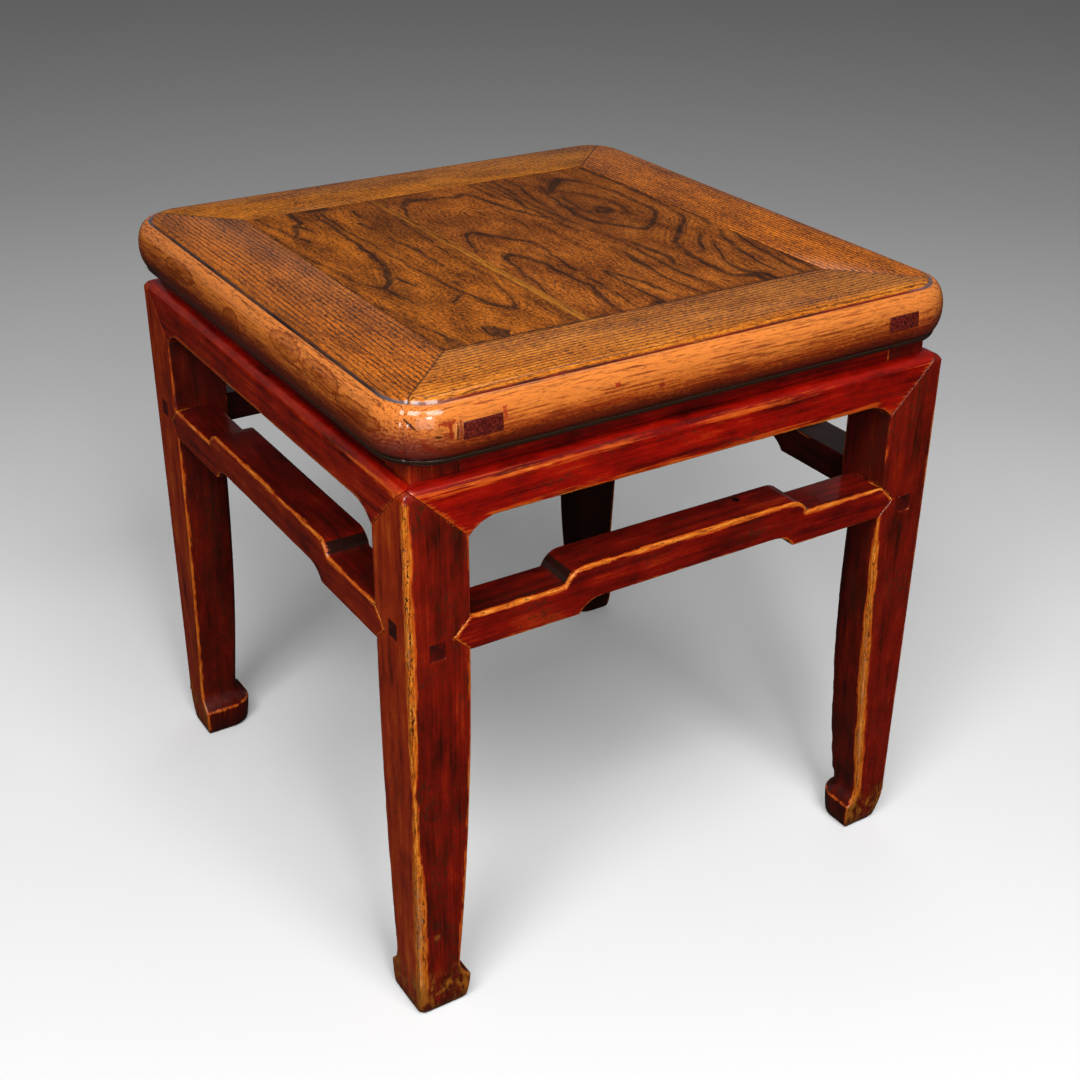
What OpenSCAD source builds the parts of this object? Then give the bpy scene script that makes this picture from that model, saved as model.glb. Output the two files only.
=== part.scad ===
// Square waisted stool, also used as a low side table, in the northern Chinese manner.
// Elm throughout: a clear finished top, and a base under red lacquer.
// Origin on the floor under the middle of the top, +Z up, front towards -Y. Millimetres.

/* [Overall] */
// Height of the top above the floor
table_h = 510; // [460:5:560]
// Width over the outer faces of the legs
base_w = 470; // [430:5:520]
// Depth over the outer faces of the legs
base_d = 475; // [430:5:520]

/* [Top frame] */
// Thickness of the frame rails
frame_t = 45; // [41:0.5:50]
// Width of a frame rail with its moulding
rail_w = 78; // [72:1:88]
// How far the moulding stands out past the legs
overhang = 8.5; // [6:0.5:12]
// Corner radius of the frame in plan
corner_r = 42; // [32:1:52]

/* [Edge moulding] */
// Depth of the half-round edge
bulge_in = 10; // [8:0.5:12]
// Drop from the top surface to the groove beside it
lip_drop = 3; // [2:0.25:4]
// Width over which the top surface rounds down to the groove
lip_round = 5; // [4:0.25:7]
// Width of the groove inside the half-round
groove_w = 2.4; // [1.5:0.1:3.5]
// Depth of that groove
groove_depth = 1.2; // [0.6:0.1:2]
// Radius of the bead along the foot of the edge
bead_r = 5.5; // [4:0.25:7]
// Depth of the scratched line above the bead
bead_line = 0.9; // [0.5:0.1:1.4]

/* [Frame joints] */
// Width of the through tenons of the side rails
rail_tenon_w = 29; // [24:1:32]
// Thickness of those tenons
rail_tenon_t = 12; // [10:0.5:14]
// Thickness of a tenon wedge at its driven end
wedge_head = 5.5; // [3:0.25:6]
// Thickness of a tenon wedge at its tip
wedge_tip = 1.5; // [1:0.1:2]
// Length of a tenon wedge
wedge_len = 36; // [26:1:44]

/* [Panel] */
// Thickness of the panel boards
panel_t = 14; // [12:0.5:16]
// Thickness of the tongue round the panel
tongue_t = 8; // [6:0.5:9]
// Length of that tongue
tongue_len = 8; // [6:0.5:10]
// Room left for the panel to swell in its groove
panel_play = 1.2; // [0.6:0.1:2]
// Open line between the panel and the frame
panel_line = 0.4; // [0.3:0.05:0.8]
// Place of the seam between the two boards
seam_x = -50; // [-80:2:80]
// Length of the tongue that joins the boards
seam_tongue = 5; // [3:0.5:7]
// Thickness of that tongue
seam_tongue_t = 4; // [3:0.5:5]

/* [Battens] */
// Width of a batten under the panel
batten_w = 28; // [24:1:36]
// Depth of a batten below the panel
batten_h = 18; // [14:1:20]
// Distance of each batten from the middle
batten_y = 82; // [60:2:110]
// Height of the dovetail that enters the panel
dovetail_h = 4; // [3:0.25:5]
// Width of the dovetail at its neck
dovetail_w = 17; // [14:0.5:20]
// How much the dovetail widens on each side
dovetail_flare = 1.6; // [1:0.1:2.4]
// Length of a batten's end tenon
batten_tenon = 12; // [9:0.5:15]
// Width of the shoulders beside that tenon
batten_shoulder = 4; // [3:0.5:6]
// Height of the shoulders above and below it
batten_step = 3; // [2:0.5:4]

/* [Waist] */
// Height of the waist
waist_h = 13.5; // [11:0.5:18]
// How far the waist lies inside the leg faces
waist_in = 11.5; // [10.5:0.5:13]
// Thickness of a waist strip
waist_t = 12; // [10:0.5:15]
// Length of the tongues of a waist strip
waist_tongue = 4; // [3:0.5:5]
// Thickness of those tongues
waist_tongue_t = 4; // [3:0.25:5]

/* [Aprons] */
// Height of an apron at its middle
apron_h = 32; // [27:1:38]
// Thickness of an apron
apron_t = 22; // [19:0.5:26]
// Radius of the rounded shoulder over apron and leg
shoulder_r = 9; // [7:0.5:10]
// Drop of the apron's lower edge where it meets a leg
spandrel_drop = 11.5; // [8:0.5:14]
// Length of the curve at each end of that edge
spandrel_run = 24; // [18:1:30]

/* [Shoulder joint] */
// Distance of the hidden tongue behind the outer face
lap_in = 4; // [3:0.25:5]
// Thickness of that tongue
lap_t = 5; // [4:0.25:6]
// Length of each straight side of that triangular tongue
lap_run = 16; // [13:0.5:17]
// Width of the hanging pin at its neck
pin_w = 5; // [4:0.5:6]
// How much the pin widens on each side
pin_flare = 1; // [0.5:0.1:1.5]
// How far the hanging pin stands out of the leg
pin_out = 4.5; // [3.5:0.25:5.5]
// How far the pin stops below the shoulder
pin_stop = 10; // [8.5:0.5:12]

/* [Legs] */
// Width of a leg down to the stretchers
leg_w = 48; // [45:0.5:52]
// Width of a leg at the ankle
ankle_w = 34.5; // [32:0.5:38]
// Height of the ankle
ankle_z = 44; // [40:1:52]
// Reach of the toe from the leg's outer face
toe_w = 44; // [41:0.5:47]
// Height of the toe's upper edge
toe_z = 26; // [22:1:30]
// Reach of the sole from the leg's outer face
sole_w = 35; // [32:0.5:37]
// Width of each inner face that stays flat below the stretchers, beside the rounded inner corner
inner_flat = 23; // [18:1:30]
// Height over which that rounding runs out under the stretchers
round_stop = 9; // [4:1:15]
// Height at which the outer faces start to curve in
foot_z = 45; // [36:1:60]
// How far the outer faces have curved in at the floor
foot_in = 7; // [5:0.5:9]
// Radius of the worn outer arris
arris_r = 2.5; // [1:0.25:5.5]

/* [Leg top tenons] */
// Thickness of the tenons on top of a leg
top_tenon_t = 12; // [9:0.5:12]
// Width of those tenons
top_tenon_w = 14; // [11:0.5:14]
// Length of the tenon into the side rail
long_tenon = 30; // [20:1:34]
// Length of the tenon under the through tenon
short_tenon = 13; // [9:0.5:14]

/* [Stretchers] */
// Height of a stretcher's underside at its ends
stretcher_z = 320; // [280:5:340]
// Height of a stretcher's section
stretcher_h = 26.6; // [23:0.2:30]
// Thickness of a stretcher, front to back
stretcher_t = 35; // [32:0.5:40]
// Distance from a leg to the foot of the hump
hump_foot = 77; // [60:1:95]
// Rise of the hump's top
hump_rise = 11.2; // [8:0.2:14]
// Length of the rounded step up to the hump
hump_run = 15.5; // [14:0.5:20]
// Distance from a leg to the step in the underside
under_foot = 89; // [70:1:105]
// Rise of that step
under_rise = 10.2; // [7:0.2:13]
// Length of the curve of that step
under_run = 19; // [14:0.5:24]
// Thickness of the pointed shoulder
point_t = 11; // [9:0.5:13]
// Depth of the through tenons behind the front face
stretcher_tenon_in = 16; // [14:0.5:18]
// Thickness of the through tenons
stretcher_tenon_t = 12; // [9:0.5:13]

/* [Fits] */
// Clearance round every tenon, tongue and pin
joint_gap = 0.15; // [0.1:0.01:0.25]

/* [Hidden] */
$fn = 96;

top_colour = "#b8752f";
panel_colour = "#7d4d22";
batten_colour = "#b08a56";
lacquer_colour = "#7a1209";
wedge_colour = "#8f5a2a";

arc_n = 12;               // straight pieces in each drawn arc
eps = 1;                  // how far a cutter runs past what it cuts

// Levels
frame_z = table_h - frame_t;
shoulder_z = frame_z - waist_h;
apron_z = shoulder_z - apron_h;
mitre_z = apron_z - spandrel_drop;
panel_z = table_h - panel_t;
rail_tenon_z = panel_z - 1 - rail_tenon_t;
stretcher_top = stretcher_z + stretcher_h;
stretcher_mid = stretcher_z + stretcher_h/2;

// Plan of the top
top_w = base_w + 2*overhang;
top_d = base_d + 2*overhang;
open_w = top_w - 2*rail_w;
open_d = top_d - 2*rail_w;
tenon_x = -open_w/2 - rail_tenon_w;            // outer side of the front left through tenon

// Places on a leg, in from its outer corner
top_tenon_near = waist_in + 3.5;
top_tenon_far = leg_w - top_tenon_w - 3;
lap_x = waist_in + 2.5;
pin_x = leg_w - 9.5;

// Radius of an arc that leaves a straight line and reaches rise after run
function arc_radius(run, rise) = (run*run + rise*rise)/(2*rise);
// Drop of such an arc at a distance along the run
function arc_drop(run, rise, t) = arc_radius(run, rise) - sqrt(pow(arc_radius(run, rise), 2) - t*t);
function reversed(points) = [for (i = [len(points) - 1 : -1 : 0]) points[i]];
function flip_x(points) = [for (p = reversed(points)) [-p[0], p[1]]];

// Half a lower edge or hump: level at z, then curving down by drop over run to reach x
function half_curve(x, z, run, drop) =
    [for (i = [0 : arc_n]) [x - run + run*i/arc_n, z - arc_drop(run, drop, run*i/arc_n)]];

// Section of the frame's moulded edge: x outwards from the corner centres, y up from the underside
function edge_section() = let (
        half = (frame_t - lip_drop - bead_r/2)/2,
        mid = bead_r/2 + half,
        groove_z = frame_t - lip_drop,
        foot = asin((mid - bead_r - bead_line)/half),
        bulge = corner_r - bulge_in,
        lip_x = bulge - groove_w)
    concat(
        [[0, 0]],
        [for (a = [-90 : 15 : 0]) [bulge + bead_r*cos(a), bead_r + bead_r*sin(a)]],
        [[bulge + bead_r - bead_line, bead_r + bead_line/2]],
        [for (i = [0 : 2*arc_n]) let (a = -foot + (90 + foot)*i/(2*arc_n))
            [bulge + bulge_in*cos(a), mid + half*sin(a)]],
        [[bulge - groove_w*0.3, groove_z - groove_depth], [bulge - groove_w*0.7, groove_z - groove_depth]],
        [for (i = [arc_n : -2 : 0]) let (t = lip_round*i/arc_n)
            [lip_x - lip_round + t, frame_t - arc_drop(lip_round, lip_drop, t)]],
        [[0, frame_t]]);

// The whole top frame as one moulded slab, before it is cut into rails
module moulded_slab() {
    x = top_w/2 - corner_r;
    y = top_d/2 - corner_r;
    translate([0, 0, frame_z]) {
        translate([-x, -y, 0]) cube([2*x, 2*y, frame_t]);
        for (turn = [0, 180]) rotate([0, 0, turn]) {
            translate([0, y, 0]) rotate([90, 0, 90])
                linear_extrude(2*x, center = true) polygon(edge_section());
            translate([x, 0, 0]) rotate([90, 0, 0])
                linear_extrude(2*y, center = true) polygon(edge_section());
            translate([x, y, 0]) rotate_extrude(angle = 90) polygon(edge_section());
            translate([-x, y, 0]) rotate([0, 0, 90]) rotate_extrude(angle = 90) polygon(edge_section());
        }
    }
}

// Cuts the slab to one rail, between its two 45 degree mitres and its straight inner edge
module rail_plan(run, face) {
    translate([0, 0, frame_z - eps]) linear_extrude(frame_t + 2*eps)
        polygon([[-run - eps, -face - eps], [run + eps, -face - eps],
                 [run - rail_w, -face + rail_w], [-run + rail_w, -face + rail_w]]);
}

// Through tenon at the front left corner, grown by gap for its mortise
module rail_tenon(gap) {
    translate([tenon_x, -top_d/2 - eps, rail_tenon_z - gap])
        cube([rail_tenon_w + gap, rail_w + eps + gap, rail_tenon_t + 2*gap]);
}

// Wedge driven in from the outer face, along the outer side of that tenon
module wedge_blank() {
    face = -top_d/2;
    slope = (wedge_head - wedge_tip)/wedge_len;
    translate([0, 0, rail_tenon_z]) linear_extrude(rail_tenon_t)
        polygon([[tenon_x, face - eps], [tenon_x - wedge_head - slope*eps, face - eps],
                 [tenon_x - wedge_tip, face + wedge_len], [tenon_x, face + wedge_len]]);
}

// Runs its child at each end of a part that is symmetrical about X or Y
module both_x() { children(); mirror([1, 0, 0]) children(); }
module both_y() { children(); mirror([0, 1, 0]) children(); }

// Turns the front of the base to the front, right, back or left
module at_side(i) { rotate([0, 0, 90*i]) children(); }
function side_run(i) = i % 2 == 0 ? base_w/2 : base_d/2;
function side_face(i) = i % 2 == 0 ? base_d/2 : base_w/2;

// Puts its child, drawn inwards from a leg's outer corner, at the corner sx, sy
module at_corner(sx, sy) {
    translate([sx*base_w/2, sy*base_d/2, 0])
        mirror([sx > 0 ? 1 : 0, 0, 0]) mirror([0, sy > 0 ? 1 : 0, 0]) children();
}
module swap_xy(on) { if (on) mirror([1, -1, 0]) children(); else children(); }

// Groove for the panel's tongue, right round the frame
module panel_groove() {
    w = open_w + 2*tongue_len + 2*panel_play;
    d = open_d + 2*tongue_len + 2*panel_play;
    translate([-w/2, -d/2, panel_z - joint_gap]) cube([w, d, tongue_t + 2*joint_gap]);
}

// Mortises in the frame's underside for the leg at the front left corner
module long_mortise() {
    at_corner(-1, -1) translate([top_tenon_near - joint_gap, top_tenon_far - joint_gap, frame_z - eps])
        cube([top_tenon_t + 2*joint_gap, top_tenon_w + 2*joint_gap, long_tenon + eps + joint_gap]);
}
module short_mortise() {
    at_corner(-1, -1) translate([top_tenon_far - joint_gap, top_tenon_near - joint_gap, frame_z - eps])
        cube([top_tenon_w + 2*joint_gap, top_tenon_t + 2*joint_gap, short_tenon + eps + joint_gap]);
}

// One of a waist strip's long tongues; grown by gap it is the groove for it
module waist_tongue_bar(i, z, gap) {
    half = side_run(i) - leg_w;
    translate([-half - gap, -side_face(i) + waist_in + (waist_t - waist_tongue_t)/2 - gap, z - gap])
        cube([2*half + 2*gap, waist_tongue_t + 2*gap, waist_tongue + 2*gap]);
}
module waist_grooves() { for (i = [0 : 3]) at_side(i) waist_tongue_bar(i, frame_z, joint_gap); }

// Stub tenon at the left end of the front batten
module batten_end(gap) {
    translate([-open_w/2 - batten_tenon - gap, -batten_y - batten_w/2 + batten_shoulder - gap,
               panel_z - batten_h + batten_step - gap])
        cube([batten_tenon + 2*eps + gap, batten_w - 2*batten_shoulder + 2*gap,
              batten_h - 2*batten_step + 2*gap]);
}

// Left rail: carries the through tenons, which show on the front and back edges
module side_rail() {
    difference() {
        union() {
            intersection() {
                moulded_slab();
                rotate([0, 0, -90]) rail_plan(top_d/2, top_w/2);
            }
            both_y() intersection() { moulded_slab(); rail_tenon(0); }
        }
        panel_groove();
        both_y() { long_mortise(); batten_end(joint_gap); }
        waist_grooves();
    }
}
module frame_rail_left() { color(top_colour) side_rail(); }
module frame_rail_right() { color(top_colour) mirror([1, 0, 0]) side_rail(); }

// Front rail: mortised right through for the side rails' tenons
module end_rail() {
    difference() {
        intersection() { moulded_slab(); rail_plan(top_w/2, top_d/2); }
        panel_groove();
        both_x() { rail_tenon(joint_gap); wedge_blank(); short_mortise(); }
        waist_grooves();
    }
}
module frame_rail_front() { color(top_colour) end_rail(); }
module frame_rail_back() { color(top_colour) mirror([0, 1, 0]) end_rail(); }

module tenon_wedge() { color(wedge_colour) intersection() { moulded_slab(); wedge_blank(); } }
module frame_wedge_front_left() { tenon_wedge(); }
module frame_wedge_front_right() { mirror([1, 0, 0]) tenon_wedge(); }
module frame_wedge_back_left() { mirror([0, 1, 0]) tenon_wedge(); }
module frame_wedge_back_right() { mirror([1, 0, 0]) mirror([0, 1, 0]) tenon_wedge(); }

// Dovetail of the front batten; grown by gap it is the slot, which runs out through the panel's tongues
module batten_dovetail(gap) {
    half = dovetail_w/2 + gap;
    run = gap > 0 ? open_w + 2*tongue_len + 2*eps : open_w;
    translate([0, -batten_y, panel_z]) rotate([90, 0, 90]) linear_extrude(run, center = true)
        polygon([[-half, -eps], [half, -eps], [half, 0], [half + dovetail_flare, dovetail_h + gap],
                 [-half - dovetail_flare, dovetail_h + gap], [-half, 0]]);
}

// A board between x0 and x1: full thickness inside the frame, and its tongue where it meets a rail
module board(x0, x1, tongue_left, tongue_right) {
    d = open_d/2 + tongue_len;
    left = tongue_left ? tongue_len : 0;
    right = tongue_right ? tongue_len : 0;
    lip_left = tongue_left ? panel_line : 0;
    lip_right = tongue_right ? panel_line : 0;
    translate([x0 + lip_left, -open_d/2 + panel_line, panel_z + tongue_t])
        cube([x1 - x0 - lip_left - lip_right, open_d - 2*panel_line, panel_t - tongue_t]);
    translate([x0 - left, -d, panel_z]) cube([x1 - x0 + left + right, 2*d, tongue_t]);
}

// The tongue that lines the two boards up
module seam_key(gap) {
    d = open_d/2 - panel_line;
    translate([seam_x - seam_tongue - gap, -d - gap, panel_z + panel_t/2 - seam_tongue_t/2 - gap])
        cube([seam_tongue + eps + gap, 2*d + 2*gap, seam_tongue_t + 2*gap]);
}

module panel_board_narrow() {
    color(panel_colour) difference() {
        board(-open_w/2, seam_x, true, false);
        seam_key(joint_gap);
        both_y() batten_dovetail(joint_gap);
    }
}
module panel_board_wide() {
    color(panel_colour) difference() {
        union() { board(seam_x, open_w/2, false, true); seam_key(0); }
        both_y() batten_dovetail(joint_gap);
    }
}

module batten() {
    color(batten_colour) {
        translate([-open_w/2, -batten_y - batten_w/2, panel_z - batten_h]) cube([open_w, batten_w, batten_h]);
        batten_dovetail(0);
        both_x() batten_end(0);
    }
}
module batten_front() { batten(); }
module batten_back() { mirror([0, 1, 0]) batten(); }

// Waist strip between two legs, with one tongue up into the frame and one down into the apron
module waist(i) {
    half = side_run(i) - leg_w;
    color(lacquer_colour) at_side(i) {
        translate([-half, -side_face(i) + waist_in, shoulder_z]) cube([2*half, waist_t, waist_h]);
        waist_tongue_bar(i, shoulder_z - waist_tongue, 0);
        waist_tongue_bar(i, frame_z, 0);
    }
}

// Front view of an apron: straight lower edge, curved down into the legs
function apron_foot(xi) = concat(
    flip_x(half_curve(xi, apron_z, spandrel_run, spandrel_drop)),
    half_curve(xi, apron_z, spandrel_run, spandrel_drop));

// Rounded shoulder in section, inwards from the outer face; shared by apron and leg
function shoulder_arc() = [for (a = [0 : 90/arc_n : 90])
    [shoulder_r - shoulder_r*cos(a), shoulder_z - shoulder_r + shoulder_r*sin(a)]];

// Height of the sloping mitre at a distance x in from the leg's outer face
function mitre_at(x) = mitre_z + leg_w - x;

// Hidden triangular tongue of the apron behind its left mitre; it drops into a slot in the leg's slope
module mitre_lap(gap) {
    near = lap_x - gap;
    far = lap_x + lap_run + gap;
    translate([0, lap_in + lap_t + gap, 0]) rotate([90, 0, 0]) linear_extrude(lap_t + 2*gap)
        polygon([[near, mitre_at(lap_x + lap_run) - gap], [far, mitre_at(lap_x + lap_run) - gap],
                 [far, mitre_at(far) + 2*eps], [near, mitre_at(near) + 2*eps]]);
}

// Upright dovetail on the leg that the back of the apron slides down over
module hanging_pin(gap) {
    neck = pin_w/2 + gap;
    head = neck + pin_flare;
    translate([pin_x, waist_in, mitre_z]) linear_extrude(shoulder_z - pin_stop - mitre_z + gap)
        polygon([[-neck, eps], [neck, eps], [neck, 0], [head, -pin_out - gap],
                 [-head, -pin_out - gap], [-neck, 0]]);
}

module apron(i) {
    run = side_run(i);
    face = side_face(i);
    xi = run - leg_w;
    tip = xi + shoulder_z - mitre_z;
    color(lacquer_colour) at_side(i) difference() {
        union() {
            // Face layer, mitred at 45 degrees onto the legs, and at the corners to its neighbour
            intersection() {
                translate([0, -face + waist_in, 0]) rotate([90, 0, 0]) linear_extrude(waist_in)
                    polygon(concat(apron_foot(xi), [[tip, shoulder_z], [-tip, shoulder_z]]));
                apron_section(run, face);
                translate([0, 0, mitre_z]) linear_extrude(shoulder_z - mitre_z)
                    polygon([[-run, -face], [run, -face], [run - waist_in, -face + waist_in],
                             [-run + waist_in, -face + waist_in]]);
            }
            // Back of the apron, square ended between the legs
            translate([0, -face + apron_t, 0]) rotate([90, 0, 0]) linear_extrude(apron_t - waist_in)
                polygon(concat(apron_foot(xi), [[xi, shoulder_z], [-xi, shoulder_z]]));
            both_x() translate([-run, -face, 0]) mitre_lap(0);
        }
        both_x() translate([-run, -face, 0]) hanging_pin(joint_gap);
        waist_tongue_bar(i, shoulder_z - waist_tongue, joint_gap);
    }
}

module apron_section(run, face) {
    translate([-run, -face, 0]) rotate([90, 0, 90]) linear_extrude(2*run)
        polygon(concat([[0, mitre_z]], shoulder_arc(),
                       [[waist_in + eps, shoulder_z], [waist_in + eps, mitre_z]]));
}

// Outline of a leg, in from its outer face and up: hoof foot, taper, shoulder and the stub at the waist
function leg_outline() = concat(
    [for (i = [0 : arc_n]) let (z = foot_z*i/arc_n) [arc_drop(foot_z, foot_in, foot_z - z), z]],
    shoulder_arc(),
    [[waist_in, shoulder_z], [waist_in, frame_z], [leg_w, frame_z], [leg_w, stretcher_z]],
    leg_inner());

// The inner side of that outline, from under the stretchers down to the sole
function leg_inner() = concat(
    [for (i = [1 : arc_n]) let (t = (stretcher_z - ankle_z)*i/arc_n)
        [leg_w - arc_drop(stretcher_z - ankle_z, leg_w - ankle_w, t), stretcher_z - t]],
    [for (i = [1 : arc_n]) let (t = (ankle_z - toe_z)*i/arc_n)
        [ankle_w + arc_drop(ankle_z - toe_z, toe_w - ankle_w, t), ankle_z - t]],
    [for (i = [1 : arc_n]) let (t = toe_z*i/arc_n) [toe_w - arc_drop(toe_z, toe_w - sole_w, t), toe_z - t]]);

// Sawn to the same outline from the front and from the side, then rounded inside and along the outer arris
module leg_blank() {
    difference() {
        intersection() {
            translate([0, leg_w, 0]) rotate([90, 0, 0]) linear_extrude(leg_w) polygon(leg_outline());
            rotate([90, 0, 90]) linear_extrude(leg_w) polygon(leg_outline());
            leg_inside();
        }
        difference() {
            translate([-eps, -eps, -eps]) cube([arris_r + eps, arris_r + eps, shoulder_z + 2*eps]);
            translate([arris_r, arris_r, -2*eps]) cylinder(r = arris_r, h = shoulder_z + 4*eps);
        }
    }
}

// Rounds the inner corner below the stretchers, about an upright axis; above them it stays square
module leg_inside() {
    r = leg_w - inner_flat;
    cube([leg_w, inner_flat, frame_z]);
    cube([inner_flat, leg_w, frame_z]);
    translate([inner_flat, inner_flat, 0]) rotate_extrude() polygon(concat(
        [[0, 0], [0, frame_z], [2*r, frame_z], [2*r, stretcher_z], [r*sqrt(2), stretcher_z],
         [r, stretcher_z - round_stop]],
        [for (q = leg_inner()) [q[0] - inner_flat, q[1]]]));
}

// What the apron's face layer takes out of the leg above the mitre
module mitre_cut() {
    top = shoulder_z + eps;
    translate([0, waist_in, 0]) rotate([90, 0, 0]) linear_extrude(waist_in + eps)
        polygon([[leg_w + eps, mitre_z - eps], [leg_w + eps, top], [leg_w - (top - mitre_z), top]]);
}

// Front view of a stretcher; point is how far its pointed shoulder reaches onto the legs
function stretcher_outline(xi, point) =
    let (half = concat(
        half_curve(xi - under_foot, stretcher_z + under_rise, under_run, under_rise),
        [[xi, stretcher_z]],
        point > 0 ? [[xi + point, stretcher_mid]] : [],
        [[xi, stretcher_top]],
        reversed(half_curve(xi - hump_foot, stretcher_top + hump_rise, hump_run, hump_rise))))
    concat(half, flip_x(half));

// Through tenon of the left end, in from the leg's corner; inside the leg the low ones pass under the others
module stretcher_tenon(low, gap) {
    z = low ? stretcher_z + joint_gap : stretcher_mid + joint_gap/2;
    start = gap > 0 ? -eps : 0;
    translate([start, stretcher_tenon_in - gap, z - gap])
        cube([leg_w + eps - start, stretcher_tenon_t + 2*gap, stretcher_h/2 - 1.5*joint_gap + 2*gap]);
}

module stretcher(i) {
    run = side_run(i);
    face = side_face(i);
    xi = run - leg_w;
    color(lacquer_colour) at_side(i) {
        translate([0, -face + point_t, 0]) rotate([90, 0, 0]) linear_extrude(point_t)
            polygon(stretcher_outline(xi, stretcher_h/2));
        translate([0, -face + stretcher_t, 0]) rotate([90, 0, 0]) linear_extrude(stretcher_t - point_t)
            polygon(stretcher_outline(xi, 0));
        both_x() translate([-run, -face, 0]) stretcher_tenon(i % 2 == 1, 0);
    }
}

// Pointed seat and through mortise for a stretcher
module stretcher_seat(low) {
    translate([0, point_t, 0]) rotate([90, 0, 0]) linear_extrude(point_t + eps)
        polygon([[leg_w + eps, stretcher_z - eps], [leg_w + eps, stretcher_top + eps],
                 [leg_w - stretcher_h/2, stretcher_mid]]);
    stretcher_tenon(low, joint_gap);
}

module leg(sx, sy) {
    color(lacquer_colour) at_corner(sx, sy) difference() {
        union() {
            difference() {
                leg_blank();
                for (side = [false, true]) swap_xy(side) mitre_cut();
            }
            for (side = [false, true]) swap_xy(side) hanging_pin(0);
            translate([top_tenon_near, top_tenon_far, frame_z - eps])
                cube([top_tenon_t, top_tenon_w, long_tenon + eps]);
            translate([top_tenon_far, top_tenon_near, frame_z - eps])
                cube([top_tenon_w, top_tenon_t, short_tenon + eps]);
        }
        for (side = [false, true]) swap_xy(side) {
            mitre_lap(joint_gap);
            stretcher_seat(side);
        }
    }
}

frame_rail_left();
frame_rail_right();
frame_rail_front();
frame_rail_back();
frame_wedge_front_left();
frame_wedge_front_right();
frame_wedge_back_left();
frame_wedge_back_right();
panel_board_narrow();
panel_board_wide();
batten_front();
batten_back();
waist(0);  // waist_front
waist(1);  // waist_right
waist(2);  // waist_back
waist(3);  // waist_left
apron(0);  // apron_front
apron(1);  // apron_right
apron(2);  // apron_back
apron(3);  // apron_left
leg(-1, -1);  // leg_front_left
leg(1, -1);  // leg_front_right
leg(-1, 1);  // leg_back_left
leg(1, 1);  // leg_back_right
stretcher(0);  // stretcher_front
stretcher(1);  // stretcher_right
stretcher(2);  // stretcher_back
stretcher(3);  // stretcher_left
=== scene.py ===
# Old waisted square stool: elm top under clear finish, elm base under worn red lacquer.
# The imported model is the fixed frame. Lengths are in metres, and in mm in the settings and patterns.
import math
from functools import partial
import bmesh
import bpy
from mathutils import Matrix, Vector, kdtree, noise


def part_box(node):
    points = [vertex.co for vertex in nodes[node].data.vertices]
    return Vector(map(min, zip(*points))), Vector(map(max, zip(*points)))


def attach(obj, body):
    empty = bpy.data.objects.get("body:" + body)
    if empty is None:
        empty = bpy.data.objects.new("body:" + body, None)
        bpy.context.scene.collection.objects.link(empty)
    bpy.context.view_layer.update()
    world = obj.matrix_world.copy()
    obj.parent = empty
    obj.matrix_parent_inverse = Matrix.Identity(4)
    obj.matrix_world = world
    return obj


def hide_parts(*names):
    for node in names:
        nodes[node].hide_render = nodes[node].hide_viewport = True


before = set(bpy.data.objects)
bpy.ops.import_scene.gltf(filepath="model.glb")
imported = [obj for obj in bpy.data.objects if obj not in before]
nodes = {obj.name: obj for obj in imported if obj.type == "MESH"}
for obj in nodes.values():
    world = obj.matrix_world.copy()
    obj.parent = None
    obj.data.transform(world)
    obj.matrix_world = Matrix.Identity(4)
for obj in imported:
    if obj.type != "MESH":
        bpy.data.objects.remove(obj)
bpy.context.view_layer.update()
mm = 0.001
print("frame loaded:", len(nodes), "nodes")

# places that pieces and materials share, all from the frame
railLow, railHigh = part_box("frame_rail_left")
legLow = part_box("leg_front_left")[0]
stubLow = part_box("waist_front")[0]
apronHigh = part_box("apron_front")[1]
stretcherLow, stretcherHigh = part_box("stretcher_front")
topHalf = Vector((-railLow.x, railHigh.y, 0))
baseHalf = Vector((-legLow.x, -legLow.y, 0))


def hexColour(code):
    # sRGB hex to the linear values that shaders take
    parts = [int(code[i:i + 2], 16) / 255 for i in (1, 3, 5)]
    return [c / 12.92 if c <= 0.04045 else ((c + 0.055) / 1.055) ** 2.4 for c in parts] + [1.0]


def addNode(tree, kind, *inputs, out=0, stops=None, op=None, **settings):
    # adds a node, sets it up and links or fills its inputs, which come in the order of its sockets
    # or as one dictionary by their names; gives back one output
    node = tree.nodes.new("ShaderNode" + kind)
    for name, value in settings.items():
        setattr(node, name, value)
    if op:
        node.operation = op
    if stops:
        ramp = node.color_ramp
        while len(ramp.elements) < len(stops):
            ramp.elements.new(0.5)
        for element, (place, colour) in zip(ramp.elements, stops):
            element.position = place
            element.color = hexColour(colour) if isinstance(colour, str) else [colour] * 3 + [1]
    named = inputs[0] if inputs and isinstance(inputs[0], dict) else dict(enumerate(inputs))
    for name, value in named.items():
        socket = node.inputs[name]
        if isinstance(value, bpy.types.NodeSocket):
            tree.links.new(value, socket)
        elif isinstance(value, str):
            socket.default_value = hexColour(value)
        else:
            socket.default_value = value
    return node.outputs[out] if len(node.outputs) else None


def newMaterial(name):
    # gives back the material, and add, which puts a node into it
    material = bpy.data.materials.new(name)
    material.use_nodes = True
    material.node_tree.nodes.clear()
    return material, partial(addNode, material.node_tree)


def grainNoise(add, spot, size, detail, roughness, shift=(0, 0, 0)):
    # noise stretched along the grain; size in mm: along, across and, where it differs, through
    stretched = add("Mapping", {"Vector": spot, "Location": shift,
                                "Scale": (1 / size[0], 1 / size[1], 1 / size[-1])})
    return add("TexNoise", {"Vector": stretched, "Scale": 1.0, "Detail": detail, "Roughness": roughness})


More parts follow.
